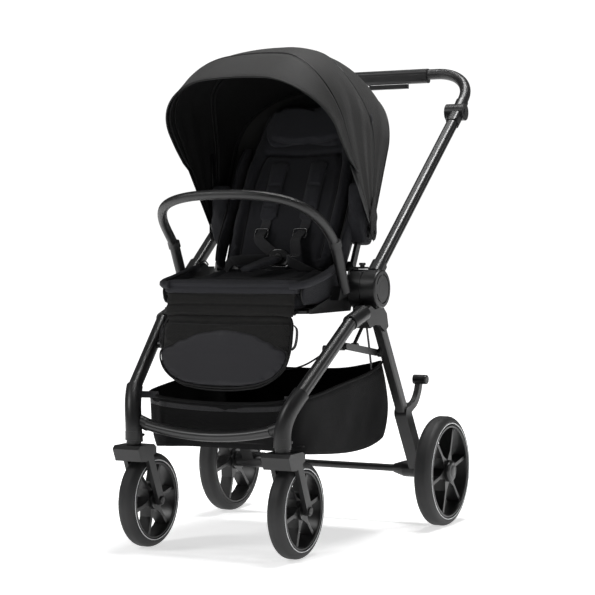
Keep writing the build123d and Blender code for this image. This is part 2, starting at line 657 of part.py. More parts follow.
# Leg rest: local Y runs up the panel, local Z to the front
drop = Vector(0, LEG_REST_FOOT[0] - LEG_REST_Y, LEG_REST_FOOT[1] - LEG_REST_Z)
rest_plane = Plane(
    origin=(0, LEG_REST_Y, LEG_REST_Z), x_dir=(1, 0, 0), z_dir=drop.cross(Vector(1, 0, 0)).normalized()
)
with BuildPart() as leg_rest:
    with BuildSketch(rest_plane) as panel:
        with Locations((0, -drop.length / 2 - 8)):
            Rectangle(304, drop.length - 16)
        fillet(panel.vertices().group_by(Axis.Y)[0], radius=70)
    extrude(amount=20)
    fillet(leg_rest.faces().sort_by(Axis.Y)[0].edges(), radius=6)
    for side, tag in SIDES:
        x_link((LEG_REST_Y, LEG_REST_Z), (LEG_REST_Y - 10, LEG_REST_Z - 26), 11, side * 112, side * 124)
        x_cylinder(LEG_REST_Y, LEG_REST_Z, side * 112, side * 136, SMALL_PIN_R)
finish(leg_rest, "leg_rest")

# ---------------------------------------------------------------- bumper bar
collar_angle = degrees(atan2(BUMPER_COLLAR[1] - BUMPER_LOW[1], BUMPER_COLLAR[0] - BUMPER_LOW[0]))
collar_low = along(BUMPER_COLLAR, collar_angle, 1)
collar_top = along(BUMPER_COLLAR, collar_angle, 14)
half_bow = [(BUMPER_X, *along(BUMPER_COLLAR, collar_angle, 4)), *BUMPER_BOW]
with BuildPart() as bumper:
    with BuildLine():
        bow = Spline(*half_bow, BUMPER_NOSE, *[(-x, y, z) for x, y, z in reversed(half_bow)])
    with BuildSketch(Plane(origin=bow @ 0, z_dir=bow % 0)):
        Circle(BUMPER_R)
    sweep(path=bow)
    for side, tag in SIDES:
        rod((side * BUMPER_X, *collar_low), (side * BUMPER_X, *collar_top), BUMPER_R + 3)
finish(bumper, "bumper_bar")

# ---------------------------------------------------------------- canopy
for layer, name in enumerate(("canopy_front", "canopy_mid", "canopy_rear")):
    start, stop = CANOPY_ANGLES[name]
    outer_r = CANOPY_R - layer * CANOPY_NEST
    outer_w = CANOPY_HALF_W - layer * CANOPY_NEST
    first = radians(start)
    section_plane = Plane(
        origin=(0, CANOPY_Y, CANOPY_Z), x_dir=(1, 0, 0), z_dir=(0, -sin(first), cos(first))
    )
    with BuildPart() as shell:
        with BuildSketch(section_plane) as skin:
            RectangleRounded(2 * outer_w, 2 * outer_r, CANOPY_CORNER)
            inner_w, inner_r = outer_w - CANOPY_SKIN, outer_r - CANOPY_SKIN
            inner_corner = CANOPY_CORNER - CANOPY_SKIN
            RectangleRounded(2 * inner_w, 2 * inner_r, inner_corner, mode=Mode.SUBTRACT)
            with Locations((0, -outer_r + (VISOR_FOOT if name == "canopy_front" else 30))):
                Rectangle(2.2 * outer_w, 2 * outer_r, mode=Mode.SUBTRACT)
        revolve(axis=Axis((0, CANOPY_Y, CANOPY_Z), (1, 0, 0)), revolution_arc=stop - start)
        for side, tag in SIDES:
            face_in, face_out = side * (outer_w - CANOPY_SKIN), side * outer_w
            # hub disc and stay of this bow
            x_cylinder(CANOPY_Y, CANOPY_Z, face_in, face_out, 15)
            stay_end = along((CANOPY_Y, CANOPY_Z), (start + stop) / 2, VISOR_FOOT + 20)
            x_link((CANOPY_Y, CANOPY_Z), stay_end, 14, face_in, face_out)
            x_cylinder(CANOPY_Y, CANOPY_Z, side * 150, side * 210, PIN_R + RUN_GAP, Mode.SUBTRACT)
    finish(shell, name)
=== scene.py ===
"""Baby stroller: fabrics, finishes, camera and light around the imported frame.

Metres and radians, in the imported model's frame: front -Y, up +Z, +X the seated child's left.
"""

import json
from math import cos, exp, pi, radians, sin, sqrt

import bmesh
import bpy
import numpy as np
from mathutils import Matrix, Vector
from mathutils.bvhtree import BVHTree


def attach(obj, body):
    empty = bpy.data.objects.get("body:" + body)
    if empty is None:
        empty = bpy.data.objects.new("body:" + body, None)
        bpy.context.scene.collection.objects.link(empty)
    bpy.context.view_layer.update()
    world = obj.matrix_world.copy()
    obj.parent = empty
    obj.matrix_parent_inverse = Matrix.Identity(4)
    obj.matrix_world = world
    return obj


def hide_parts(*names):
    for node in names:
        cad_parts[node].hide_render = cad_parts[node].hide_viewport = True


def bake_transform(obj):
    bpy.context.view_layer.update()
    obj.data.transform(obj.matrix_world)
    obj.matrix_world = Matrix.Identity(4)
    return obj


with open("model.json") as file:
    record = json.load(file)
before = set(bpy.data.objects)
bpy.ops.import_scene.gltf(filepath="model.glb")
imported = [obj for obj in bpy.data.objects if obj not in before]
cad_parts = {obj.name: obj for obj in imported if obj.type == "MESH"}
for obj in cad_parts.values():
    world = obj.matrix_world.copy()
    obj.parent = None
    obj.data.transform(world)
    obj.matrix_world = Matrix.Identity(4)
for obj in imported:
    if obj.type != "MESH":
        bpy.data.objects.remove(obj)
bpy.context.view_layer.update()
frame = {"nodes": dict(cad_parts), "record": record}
nodes = frame["nodes"]
MM = 0.001
SIDES = ((1, "left"), (-1, "right"))
CLOUD_SPAN = (0.3, 0.7)  # where most of the noise lies
CLOTH_SPECULAR = 0.22


# ---- camera
def place_camera():
    """Camera at the viewing angle, with a small roll about its own line of sight."""
    eye, target = Vector((1.8095, -3.5066, 0.636)), Vector((0.06746, -0.159, 0.50881))
    roll = radians(-0.33)
    ahead = (target - eye).normalized()
    level = ahead.cross(Vector((0, 0, 1))).normalized()
    upright = level.cross(ahead)
    right = level * cos(roll) + upright * sin(roll)
    up = upright * cos(roll) - level * sin(roll)
    data = bpy.data.cameras.new("camera")
    data.sensor_width, data.lens = 36, 108.94
    data.clip_end = 100
    camera = bpy.data.objects.new("camera", data)
    camera.matrix_world = Matrix(
        [(right[i], up[i], -ahead[i], eye[i]) for i in range(3)] + [(0, 0, 0, 1)]
    )
    bpy.context.scene.collection.objects.link(camera)
    bpy.context.scene.camera = camera


place_camera()


# ---- materials
def map_range(tree, value, low, high, start=0.0, end=1.0):
    """A value from start..end carried over to low..high."""
    node = tree.nodes.new("ShaderNodeMapRange")
    for name, number in (("From Min", start), ("From Max", end), ("To Min", low), ("To Max", high)):
        node.inputs[name].default_value = number
    tree.links.new(value, node.inputs["Value"])
    return node.outputs["Result"]


def noise(tree, place, scale, detail):
    """Noise in an object's own coordinates."""
    node = tree.nodes.new("ShaderNodeTexNoise")
    node.inputs["Scale"].default_value = scale
    node.inputs["Detail"].default_value = detail
    tree.links.new(place, node.inputs["Vector"])
    return node.outputs["Fac"]


def tinted(tree, colour, tint):
    """A colour, or a colour output, times a tint."""
    node = tree.nodes.new("ShaderNodeMix")
    node.data_type, node.blend_type = "RGBA", "MULTIPLY"
    node.inputs["Factor"].default_value = 1
    if isinstance(colour, tuple):
        node.inputs["A"].default_value = (*colour, 1)
    else:
        tree.links.new(colour, node.inputs["A"])
    tree.links.new(tint, node.inputs["B"])
    return node.outputs["Result"]


def shade(kind, colour, rough, spread=0.0, rough_spread=0.0, **inputs):
    """A principled material whose colour and roughness wander a little over the surface."""
    made = bpy.data.materials.new(kind)
    made.use_nodes = True
    tree = made.node_tree
    bsdf = tree.nodes["Principled BSDF"]
    for name, value in inputs.items():
        bsdf.inputs[name.replace("_", " ")].default_value = value
    place = tree.nodes.new("ShaderNodeTexCoord").outputs["Object"]
    cloud = noise(tree, place, 14, 6)
    base = tinted(tree, colour, map_range(tree, cloud, 1 - spread, 1 + spread, *CLOUD_SPAN))
    tree.links.new(base, bsdf.inputs["Base Color"])
    gloss = map_range(tree, cloud, rough - rough_spread, rough + rough_spread, *CLOUD_SPAN)
    tree.links.new(gloss, bsdf.inputs["Roughness"])
    return made, tree, bsdf, place, base


def bump(tree, bsdf, height, distance):
    """Bump from a height output, with its depth in metres."""
    node = tree.nodes.new("ShaderNodeBump")
    node.inputs["Distance"].default_value = distance
    node.inputs["Strength"].default_value = 1
    tree.links.new(height, node.inputs["Height"])
    tree.links.new(node.outputs["Normal"], bsdf.inputs["Normal"])


def math_node(tree, operation, first, second):
    """The output of a math node on two outputs or numbers."""
    node = tree.nodes.new("ShaderNodeMath")
    node.operation = operation
    for socket, value in zip(node.inputs, (first, second)):
        if isinstance(value, (int, float)):
            socket.default_value = value
        else:
            tree.links.new(value, socket)
    return node.outputs["Value"]


def grained(kind, colour, rough, scale, depth, spread=0.12, rough_spread=0.06, **inputs):
    """Moulded plastic, rubber or coated metal with a fine grain."""
    made, tree, bsdf, place, _ = shade(kind, colour, rough, spread, rough_spread, **inputs)
    bump(tree, bsdf, noise(tree, place, scale, 3), depth)
    return made


def woven(kind, colour, pitch, depth, rough=0.85, spread=0.15, melange=0.25, **inputs):
    """Woven cloth: crossing thread directions on any face, with uneven thread colour."""
    made, tree, bsdf, place, base = shade(kind, colour, rough, spread, 0.05, **inputs)
    bsdf.inputs["Specular IOR Level"].default_value = CLOTH_SPECULAR
    threads = []
    for signs in ((1, 1, 1), (1, -1, 1), (-1, 1, 1)):
        turned_place = tree.nodes.new("ShaderNodeMapping")
        turned_place.inputs["Scale"].default_value = signs
        tree.links.new(place, turned_place.inputs["Vector"])
        wave = tree.nodes.new("ShaderNodeTexWave")
        wave.bands_direction = "DIAGONAL"
        wave.inputs["Scale"].default_value = 0.45 / pitch
        wave.inputs["Distortion"].default_value = 0.6
        tree.links.new(turned_place.outputs["Vector"], wave.inputs["Vector"])
        threads.append(wave.outputs["Fac"])
    crossed = math_node(tree, "ADD", math_node(tree, "ADD", threads[0], threads[1]), threads[2])
    flecks = math_node(tree, "MULTIPLY", noise(tree, place, 0.35 / pitch, 2), 2 * melange)
    light = math_node(tree, "MULTIPLY", math_node(tree, "MULTIPLY", crossed, 0.33), 2 * melange)
    light = math_node(tree, "ADD", light, 1 - 2 * melange)
    light = math_node(tree, "ADD", light, flecks)
    tree.links.new(tinted(tree, base, light), bsdf.inputs["Base Color"])
    bump(tree, bsdf, crossed, depth)
    return made


def hide(kind, colour, rough):
    """Imitation leather: pebbled grain between fine creases."""
    made, tree, bsdf, place, _ = shade(kind, colour, rough, 0.12, 0.07)
    pebbles = tree.nodes.new("ShaderNodeTexVoronoi")
    pebbles.inputs["Scale"].default_value = 620
    tree.links.new(place, pebbles.inputs["Vector"])
    height = math_node(tree, "ADD", pebbles.outputs["Distance"], noise(tree, place, 160, 4))
    bump(tree, bsdf, height, 0.00035)
    return made


FINISH = {
    "tube": grained(
        "coated_tube", (0.006, 0.006, 0.0062), 0.38, 400, 0.000001, 0.08, 0.03,
        Specular_IOR_Level=0.6,
    ),
    "moulding": grained("moulded_plastic", (0.0042, 0.0042, 0.0046), 0.4, 1400, 0.00005),
    "rim": grained("rim_plastic", (0.0048, 0.0048, 0.005), 0.36, 1200, 0.00005),
    "tyre": grained("tyre_rubber", (0.012, 0.012, 0.0125), 0.62, 700, 0.00012, 0.18, 0.08),
    "canopy_cloth": woven(
        "canopy_weave", (0.0125, 0.0122, 0.0118), 0.001, 0.0001, 0.72, 0.1, 0.16, Sheen_Weight=0.05
    ),
    "seat_cloth": woven(
        "seat_weave", (0.0125, 0.0127, 0.0155), 0.0012, 0.00014, 0.78, 0.12, 0.22, Sheen_Weight=0.05
    ),
    "basket_cloth": woven(
        "basket_weave", (0.0016, 0.0016, 0.0019), 0.0014, 0.00014, 0.82, 0.12, 0.2,
        Sheen_Weight=0.01,
    ),
    "grip": hide("stitched_leather", (0.0075, 0.0075, 0.0078), 0.34),
    "webbing": woven(
        "webbing_weave", (0.02, 0.02, 0.022), 0.0016, 0.00022, 0.4, 0.08, 0.25, Sheen_Weight=0.1
    ),
    "cap": grained("cap_plastic", (0.005, 0.005, 0.0054), 0.42, 1300, 0.00005),
    "cable": grained("cable_jacket", (0.006, 0.006, 0.0064), 0.36, 900, 0.00004),
    "pin_steel": grained(
        "pin_steel", (0.3, 0.3, 0.31), 0.32, 1600, 0.00003, 0.05, 0.06, Metallic=1.0
    ),
}
# Darker cloth for the canopy's inner face and the bows inside it: its darkness is painted shade
# inside the canopy.
PAINTED_SHADE_LINING = woven("lining_painted_shade", (0.004, 0.004, 0.0042), 0.0012, 0.0001, 0.9, 0.1, 0.2)
BROWN_WEAVE = woven(
    "leg_rest_weave", (0.0088, 0.0085, 0.0082), 0.0024, 0.0003, 0.82, 0.12, 0.4, Sheen_Weight=0.04
)
SMOOTH_GREY = grained(
    "coated_cloth", (0.0125, 0.0122, 0.0152), 0.6, 500, 0.00008, 0.1, 0.05, Specular_IOR_Level=0.35
)
HEAD_CLOTH = woven(
    "head_weave", (0.0175, 0.0177, 0.0215), 0.0012, 0.00012, 0.76, 0.1, 0.22, Sheen_Weight=0.06
)
PIPING = grained("piping_cord", (0.003, 0.003, 0.0032), 0.5, 600, 0.00008, Specular_IOR_Level=0.25)
THREAD = grained("sewing_thread", (0.026, 0.026, 0.028), 0.7, 2500, 0.00005)
SILVER = grained("reflective_trim", (0.7, 0.71, 0.72), 0.35, 900, 0.00004, 0.05, 0.05)
GLOSSY = grained("buckle_plastic", (0.008, 0.008, 0.0085), 0.2, 900, 0.00003)

SEAT_CLOTH, CANOPY_CLOTH = FINISH["seat_cloth"], FINISH["canopy_cloth"]
BASKET_CLOTH, MOULDING, STEEL = FINISH["basket_cloth"], FINISH["moulding"], FINISH["pin_steel"]

slot_of = {s["node"]: s["material_slot"] for s in frame["record"]["subparts"]}
for name, node in nodes.items():
    for held in node.material_slots:
        held.material = FINISH[slot_of[name]]


# ---- mesh helpers
def piece(name, mesh, body, material, smooth=True):
    """A new object that rides a body, with its finish."""
    made = bpy.data.objects.new(name, mesh)
    bpy.context.scene.collection.objects.link(made)
    mesh.materials.clear()
    mesh.materials.append(material)
    if smooth:
        mesh.polygons.foreach_set("use_smooth", [True] * len(mesh.polygons))
    if body:
        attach(made, body)
    return made


def rework(mesh, change):
    """Run one bmesh operation on a mesh."""
    work = bmesh.new()
    work.from_mesh(mesh)
    change(work)
    work.to_mesh(mesh)
    work.free()


def to_mesh(name, points, faces):
    """A mesh from points and faces, with its normals outward."""
    mesh = bpy.data.meshes.new(name)
    mesh.from_pydata([tuple(p) for p in points], [], faces)
    rework(mesh, lambda work: bmesh.ops.recalc_face_normals(work, faces=work.faces))
    return mesh


def joined(name, parts):
    """One mesh from several (points, faces) lists."""
    points, faces = [], []
    for some_points, some_faces in parts:
        base = len(points)
        points += [tuple(p) for p in some_points]
        faces += [tuple(i + base for i in f) for f in some_faces]
    return to_mesh(name, points, faces)


def band_faces(rows, sides, wrap=False):
    """Quads between closed rings of the same number of points."""
    faces = []
    for i in range(rows if wrap else rows - 1):
        for k in range(sides):
            here, after = i * sides, (i + 1) % rows * sides
            beside = (k + 1) % sides
            faces.append((here + k, here + beside, after + beside, after + k))
    return faces


def grid_faces(columns, rows):
    """Quads of a sheet whose points run down column after column."""
    starts = (a for i in range(columns - 1) for a in range(i * rows, (i + 1) * rows - 1))
    return [(a, a + rows, a + rows + 1, a + 1) for a in starts]


def mirrored(line):
    """A line's mirror image in the plane of symmetry."""
    return [Vector((-p.x, p.y, p.z)) for p in line]


def smooth_line(points, per_run=6, closed=False):
    """A Catmull-Rom curve through points."""
    p = [Vector(q) for q in points]
    n = len(p)
    line = []
    for i in range(n if closed else n - 1):
        a = p[(i - 1) % n] if closed or i else p[0]
        b, c = p[i], p[(i + 1) % n]
        d = p[(i + 2) % n] if closed or i + 2 < n else p[-1]
        for k in range(per_run):
            t = k / per_run
            bend, twist = 2 * a - 5 * b + 4 * c - d, 3 * b - a - 3 * c + d
            line.append(0.5 * (2 * b + (c - a) * t + bend * t * t + twist * t**3))
    if not closed:
        line.append(p[-1])
    return line


SQUARENESS = 0.35  # power that squares a ribbon's section


def tube(line, radius, sides=8, closed=False, flat=None, across=None):
    """Points and faces of a tube along a line; flat gives a half thickness for a ribbon."""
    n = len(line)
    points = []
    last = None
    for i in range(n):
        before = line[(i - 1) % n] if closed or i else line[0]
        after = line[(i + 1) % n] if closed or i + 1 < n else line[-1]
        ahead = (after - before).normalized()
        if across is not None:
            wide = (across - ahead * across.dot(ahead)).normalized()
        elif last is None:
            guess = Vector((1, 0, 0)) if abs(ahead.x) < 0.8 else Vector((0, 0, 1))
            wide = (guess - ahead * guess.dot(ahead)).normalized()
        else:
            wide = (last - ahead * last.dot(ahead)).normalized()
        last = wide
        thick = ahead.cross(wide)
        for k in range(sides):
            angle = 2 * pi * (k + 0.5) / sides
            if flat is None:
                points.append(line[i] + (wide * cos(angle) + thick * sin(angle)) * radius)
            else:
                c, s = cos(angle), sin(angle)
                c, s = (abs(q) ** SQUARENESS * (1 if q > 0 else -1) for q in (c, s))
                points.append(line[i] + wide * c * radius + thick * s * flat)
    faces = band_faces(n, sides, closed)
    if not closed:
        faces.append(tuple(range(sides - 1, -1, -1)))
        faces.append(tuple(range((n - 1) * sides, n * sides)))
    return points, faces


def cord_piece(name, lines, radius, body, material=None, closed=False):
    """Round trim along one or more lines, with its radius in millimetres."""
    mesh = joined(name, [tube(line, radius * MM, closed=closed) for line in lines])
    return piece(name, mesh, body, material or PIPING)


def rod(name, line, radius, sides, body, material, flat=None, across=None):
    """One tube or flat strip along a line; radius and flat are in millimetres."""
    flat = flat and flat * MM
    mesh = joined(name, [tube(line, radius * MM, sides, flat=flat, across=across)])
    return piece(name, mesh, body, material)


def turned(profile, centre, side, sides):
    """Points of an (x, r) profile turned about the X axis through centre."""
    angles = [2 * pi * k / sides for k in range(sides)]
    cx, cy, cz = centre
    return [(cx + side * x, cy + r * cos(a), cz + r * sin(a)) for x, r in profile for a in angles]


def lathe(profile, centre, side=1, sides=40):
    """Points and faces of a turned profile with closed ends."""
    n = len(profile)
    ends = [tuple(range(sides)), tuple(range((n - 1) * sides, n * sides))]
    return turned(profile, centre, side, sides), band_faces(n, sides) + ends


SHORT_STITCH = {"pitch": 4.5 * MM, "long": 2.8 * MM}


def stitches(name, lines, body, slot="seat_cloth", pitch=5.5 * MM, long=3.4 * MM, radius=0.42 * MM):
    """A row of single stitches along each line."""
    parts = []
    for line in lines:
        lengths = [(b - a).length for a, b in zip(line, line[1:])]
        total = sum(lengths)
        at = pitch / 2
        while at < total - pitch / 2:
            ends = []
            for reach in (at - long / 2, at, at + long / 2):
                left, i = reach, 0
                while i < len(lengths) - 1 and left > lengths[i]:
                    left -= lengths[i]
                    i += 1
                ends.append(line[i].lerp(line[i + 1], min(1.0, left / max(lengths[i], 1e-9))))
            parts.append(tube(ends, radius, sides=5))
            at += pitch
    return piece(name, joined(name, parts), body, THREAD)


def smoothstep(t):
    """Zero below 0, one above 1, with level ends."""
    t = min(1.0, max(0.0, t))
    return t * t * (3 - 2 * t)


def coords(mesh):
    """A mesh's points as an array."""
    flat = np.empty(len(mesh.vertices) * 3)
    mesh.vertices.foreach_get("co", flat)
    return flat.reshape(-1, 3)


def set_coords(mesh, points):
    """Write an array of points back to a mesh."""
    mesh.vertices.foreach_set("co", np.ascontiguousarray(points).reshape(-1))
    mesh.update()


def thicken(made, thickness, inner=None):
    """Give a sheet its thickness, with another material on its inner face if there is one."""
    thick = made.modifiers.new("thickness", "SOLIDIFY")
    thick.thickness, thick.offset = thickness, 0
    if inner:
        made.data.materials.append(inner)
        thick.material_offset = 1
    apply_modifiers(made)


def apply_modifiers(made):
    """Replace a mesh by the same mesh with its modifiers applied."""
    graph = bpy.context.evaluated_depsgraph_get()
    shown = bpy.data.meshes.new_from_object(made.evaluated_get(graph))
    made.modifiers.clear()
    made.data = shown
    shown.polygons.foreach_set("use_smooth", [True] * len(shown.polygons))


class Axes:
    """A plane's own axes: u across, v along, n out of its face."""

    def __init__(self, origin, u, v, n):
        self.origin = np.array(origin, dtype=float)
        self.base = np.array([u, v, n], dtype=float)

    def out(self, u, v, n=0.0):
        """The point in the row frame."""
        return Vector(self.origin + np.array([u, v, n]) @ self.base)

    def local(self, points):
        """Points of the row frame in the plane's axes."""
        return (points - self.origin) @ self.base.T

    def write(self, made, local):
        """Give a piece's mesh points by their places in the plane's axes."""
        set_coords(made.data, self.origin + local @ self.base)


def side_axes(side, x, y=0.0, z=0.0):
    """Axes that face outward on one side of the stroller."""
    return Axes((side * x, y, z), (0, 1, 0), (0, 0, 1), (side, 0, 0))


LEAN = radians(27)
BACK = Axes((0, -0.109, 0.54), (1, 0, 0), (0, sin(LEAN), cos(LEAN)), (0, -cos(LEAN), sin(LEAN)))
DROP = Vector((0, -0.041, -0.162)).normalized()
REST = Axes((0, -0.318, 0.487), (1, 0, 0), tuple(-DROP), tuple(DROP.cross(Vector((1, 0, 0)))))
SEAT = Axes((0, -0.222, 0.488), (1, 0, 0), (0, 1, 0), (0, 0, 1))


def rounded(corners, radius, steps=6):
    """A closed outline with its corners rounded."""
    outline = []
    n = len(corners)
    for i in range(n):
        before, here, after = (Vector(corners[(i + k) % n]) for k in (-1, 0, 1))
        reach = min(radius, 0.48 * (before - here).length, 0.48 * (after - here).length)
        start = here + (before - here).normalized() * reach
        end = here + (after - here).normalized() * reach
        for k in range(steps + 1):
            t = k / steps
            outline.append(start * (1 - t) ** 2 + here * 2 * t * (1 - t) + end * t * t)
    return outline


def symmetric(*right):
    """A closed outline from the points of its right half, from the bottom up."""
    left = [(-u, v) for u, v in right]
    return [left[0], *right, *left[:0:-1]]


PUFF_FRAMES = 20


def puff(made, cap, axes, floor, ceiling, voxel=0.005, pressure=4.0):
    """Swell a closed slab into a stuffed pad: remesh, blow up as cloth, cap, and rest it flat."""
    remesh = made.modifiers.new("remesh", "REMESH")
    remesh.mode, remesh.voxel_size = "VOXEL", voxel
    apply_modifiers(made)
    start = coords(made.data)
    cloth = made.modifiers.new("cloth", "CLOTH")
    cloth.settings.use_pressure = True
    cloth.settings.uniform_pressure_force = pressure
    cloth.settings.quality = 5
    cloth.settings.effector_weights.gravity = 0
    cloth.point_cache.frame_start, cloth.point_cache.frame_end = 1, PUFF_FRAMES
    for step in range(1, PUFF_FRAMES + 1):
        bpy.context.scene.frame_set(step)
    swollen = coords(made.evaluated_get(bpy.context.evaluated_depsgraph_get()).data)
    made.modifiers.clear()
    bpy.context.scene.frame_set(1)
    moved = swollen - start
    reach = np.linalg.norm(moved, axis=1, keepdims=True)
    moved *= np.minimum(1.0, cap / np.maximum(reach, 1e-9))
    set_coords(made.data, start + moved)
    local = axes.local(coords(made.data))
    local[:, 2] = np.clip(local[:, 2], floor, ceiling)
    axes.write(made, local)
    divide = made.modifiers.new("subdivision", "SUBSURF")
    divide.levels = divide.render_levels = 1
    apply_modifiers(made)


def slab(outline, axes, low, high):
    """Points and faces of a prism on an outline, between two heights of a plane."""
    n = len(outline)
    points = [axes.out(p[0], p[1], low) for p in outline] + [
        axes.out(p[0], p[1], high)
        for p in outline
    ]
    faces = [tuple(range(n)), tuple(range(2 * n - 1, n - 1, -1))]
    faces += [(i, (i + 1) % n, n + (i + 1) % n, n + i) for i in range(n)]
    return points, faces


def pad(
    name, body, axes, outline, heights, cap, material=None, shrink=3, voxel=0.005,
):
    """A stuffed pad on an outline of a plane; heights, cap and shrink are in millimetres."""
    low, high = (height * MM for height in heights)
    cap, shrink = cap * MM, shrink * MM
    middle = sum((Vector(p) for p in outline), Vector((0, 0))) / len(outline)
    inner = []
    for p in outline:
        away = Vector(p) - middle
        inner.append(middle + away * (1 - shrink / away.length))
    mesh = to_mesh(name, *slab(inner, axes, low + shrink * 0.6, high - shrink * 0.6))
    made = piece(name, mesh, body, material or SEAT_CLOTH)
    puff(made, cap, axes, low, high + cap, voxel)
    return made


def small_pad(name, body, axes, outline, heights, cap, material=None, shrink=1.5):
    """A pad of finer mesh, for narrow shapes."""
    return pad(name, body, axes, outline, heights, cap, material, shrink, 0.004)


def near_line(points, line):
    """Distance of 2-D points to a 2-D polyline."""
    best = np.full(len(points), 1e9)
    for a, b in zip(line, line[1:]):
        a, b = np.array(a), np.array(b)
        run = b - a
        t = np.clip(((points - a) @ run) / max(run @ run, 1e-12), 0, 1)
        best = np.minimum(best, np.linalg.norm(points - (a + t[:, None] * run), axis=1))
    return best


def sew(made, axes, lines, depth, width):
    """Press sewn channels into the face of a pad; depth and width are in millimetres."""
    depth, width = depth * MM, width * MM
    local = axes.local(coords(made.data))
    top = local[:, 2] > local[:, 2].mean() - 2 * MM
    for line in lines:
        near = near_line(local[:, :2], line)
        local[:, 2] -= np.where(top, depth * np.exp(-((near / width) ** 2)), 0)
    axes.write(made, local)


def laid(made, axes, line, per_run, lift=0.2):
    """A line of a plane laid on a pad's face, lifted by a distance in millimetres."""
    tree = BVHTree.FromPolygons(
        [v.co for v in made.data.vertices], [tuple(p.vertices) for p in made.data.polygons]
    )
    flat = smooth_line([(u, v, 0) for u, v in line], per_run)
    down = Vector(-axes.base[2])
    found = []
    for p in flat:
        hit = tree.ray_cast(axes.out(p.x, p.y, 0.2), down)[0]
        if hit is not None:
            found.append(hit - down * (lift * MM))
    return found


def swell(made, axes, rise):
    """Raise the face of a pad by rise(u, v)."""
    local = axes.local(coords(made.data))
    low, high = local[:, 2].min(), local[:, 2].max()
    share = (local[:, 2] - low) / (high - low)
    local[:, 2] += share * rise(local[:, 0], local[:, 1])
    axes.write(made, local)


# ---- release cable
KNOB_X, KNOB_Y, KNOB_Z = 0.1642, -0.187, 0.41


def release_cable():
    """The cable between the two knobs of the folding brace."""
    route = [(KNOB_X, KNOB_Z), (0.131, 0.387), (0.093, 0.366), (0.054, 0.358)]
    route += [(-0.054, 0.357), (-0.094, 0.365), (-0.132, 0.387), (-KNOB_X, KNOB_Z)]
    curve = bpy.data.curves.new("brace_cable", "CURVE")
    curve.dimensions = "3D"
    curve.bevel_depth, curve.bevel_resolution, curve.resolution_u = 0.002, 4, 16
    curve.use_fill_caps = True
    spline = curve.splines.new("NURBS")
    spline.points.add(len(route) - 1)
    for point, (x, z) in zip(spline.points, route):
        point.co = (x, KNOB_Y, z, 1)
    spline.order_u = 3
    spline.use_endpoint_u = True
    made = bpy.data.objects.new("brace_cable", curve)
    bpy.context.scene.collection.objects.link(made)
    curve.materials.append(FINISH["cable"])
    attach(made, "brace_front")
    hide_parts("release_cable")


release_cable()

# ---- canopy
PIVOT_Y, PIVOT_Z = -0.053, 0.645
HALF_W, REACH = 0.198, 0.402
CORNER_FRONT, CORNER_REAR = 0.132, 0.195
FRONT_ANGLE, REAR_ANGLE, ANGLE_SPAN = 116, 84, 26  # where the bows begin to change, in degrees
REAR_DROP = 0.014
LAYER = 4.2 * MM
CLOTH_THICK = 1.2 * MM


def hoop_length(corner):
    """Half the length of a canopy bow, from its middle to the pivot."""
    return HALF_W + REACH - corner * (2 - pi / 2)


FOOT = hoop_length(0.115)
SIDE_FOOT = FOOT - 0.024
VISOR_FOOT = FOOT - 0.152


def hoop(d, angle, inset=0.0):
    """The point (x, r) of a canopy bow at d from its middle; bows are rounder to the rear."""
    rounder = smoothstep((FRONT_ANGLE - angle) / ANGLE_SPAN)
    corner = CORNER_FRONT + (CORNER_REAR - CORNER_FRONT) * rounder
    reach = REACH - REAR_DROP * smoothstep((REAR_ANGLE - angle) / ANGLE_SPAN)
    sign, d = (1 if d >= 0 else -1), abs(d) * hoop_length(corner) / FOOT
    top, arc = HALF_W - corner, corner * pi / 2
    if d <= top:
        x, r, nx, nr = d, reach, 0.0, 1.0
    elif d <= top + arc:
        turn = (d - top) / corner
        nx, nr = sin(turn), cos(turn)
        x, r = top + corner * nx, reach - corner + corner * nr
    else:
        share = (d - top - arc) / (REACH - corner)
        x, r, nx, nr = HALF_W, (reach - corner) * (1 - share), 1.0, 0.0
    return sign * (x - nx * inset), r - nr * inset


def about_pivot(x, r, angle):
    """The point at x, at a distance and an angle in degrees about the canopy's pivot."""
    return Vector((x, PIVOT_Y + r * cos(radians(angle)), PIVOT_Z + r * sin(radians(angle))))


def hoop_point(d, angle, inset=0.0):
    """A point of the canopy at d along its bow and an angle about the pivot, in degrees."""
    return about_pivot(*hoop(d, angle, inset), angle)


def rear_edge(d):
    """Rear end of the canopy, in degrees about the pivot."""
    return 58 + 7 * smoothstep(abs(d) / 0.3)


def bow_seam(d):
    """Seam over the middle bow."""
    return 86.5 + 11 * exp(-(((abs(d) - 0.2) / 0.07) ** 2) / 2)


def visor_seam(d):
    """Seam between the canopy and its visor."""
    return 110.7 + 11.8 * smoothstep(abs(d) / 0.27)


def visor_edge(d):
    """Front edge of the visor, with its ends drawn in to a round tip."""
    full = 128 + 2.5 * smoothstep(abs(d) / 0.2) - 3 * smoothstep((abs(d) - 0.3) / 0.12)
    left = max(0.0, (FOOT - 0.15 - abs(d)) / 0.045)
    return visor_seam(d) + (full - visor_seam(d)) * sqrt(min(1.0, left))


def beside(edge, turn):
    """An edge moved by a turn in degrees."""
    return lambda d: edge(d) + turn


# centre and spread in degrees, height in units of FOLD_SCALE
FOLDS = ((119, 2.6, 1.5), (112, 2.0, -0.9), (104, 3.2, 1.2), (97, 2.4, -0.8), (76, 4.0, 1.0))
FOLD_SCALE = 1.7


def fold_height(d, angle):
    """Tension folds that run from the side seams towards the pivot."""
    height = 0.0
    side = smoothstep((abs(d) - 0.16) / 0.1)
    for centre, spread, size in FOLDS:
        drift = centre + 5 * (abs(d) - 0.3) / 0.3
        height += size * exp(-(((angle - drift) / spread) ** 2))
    return FOLD_SCALE * side * height * MM


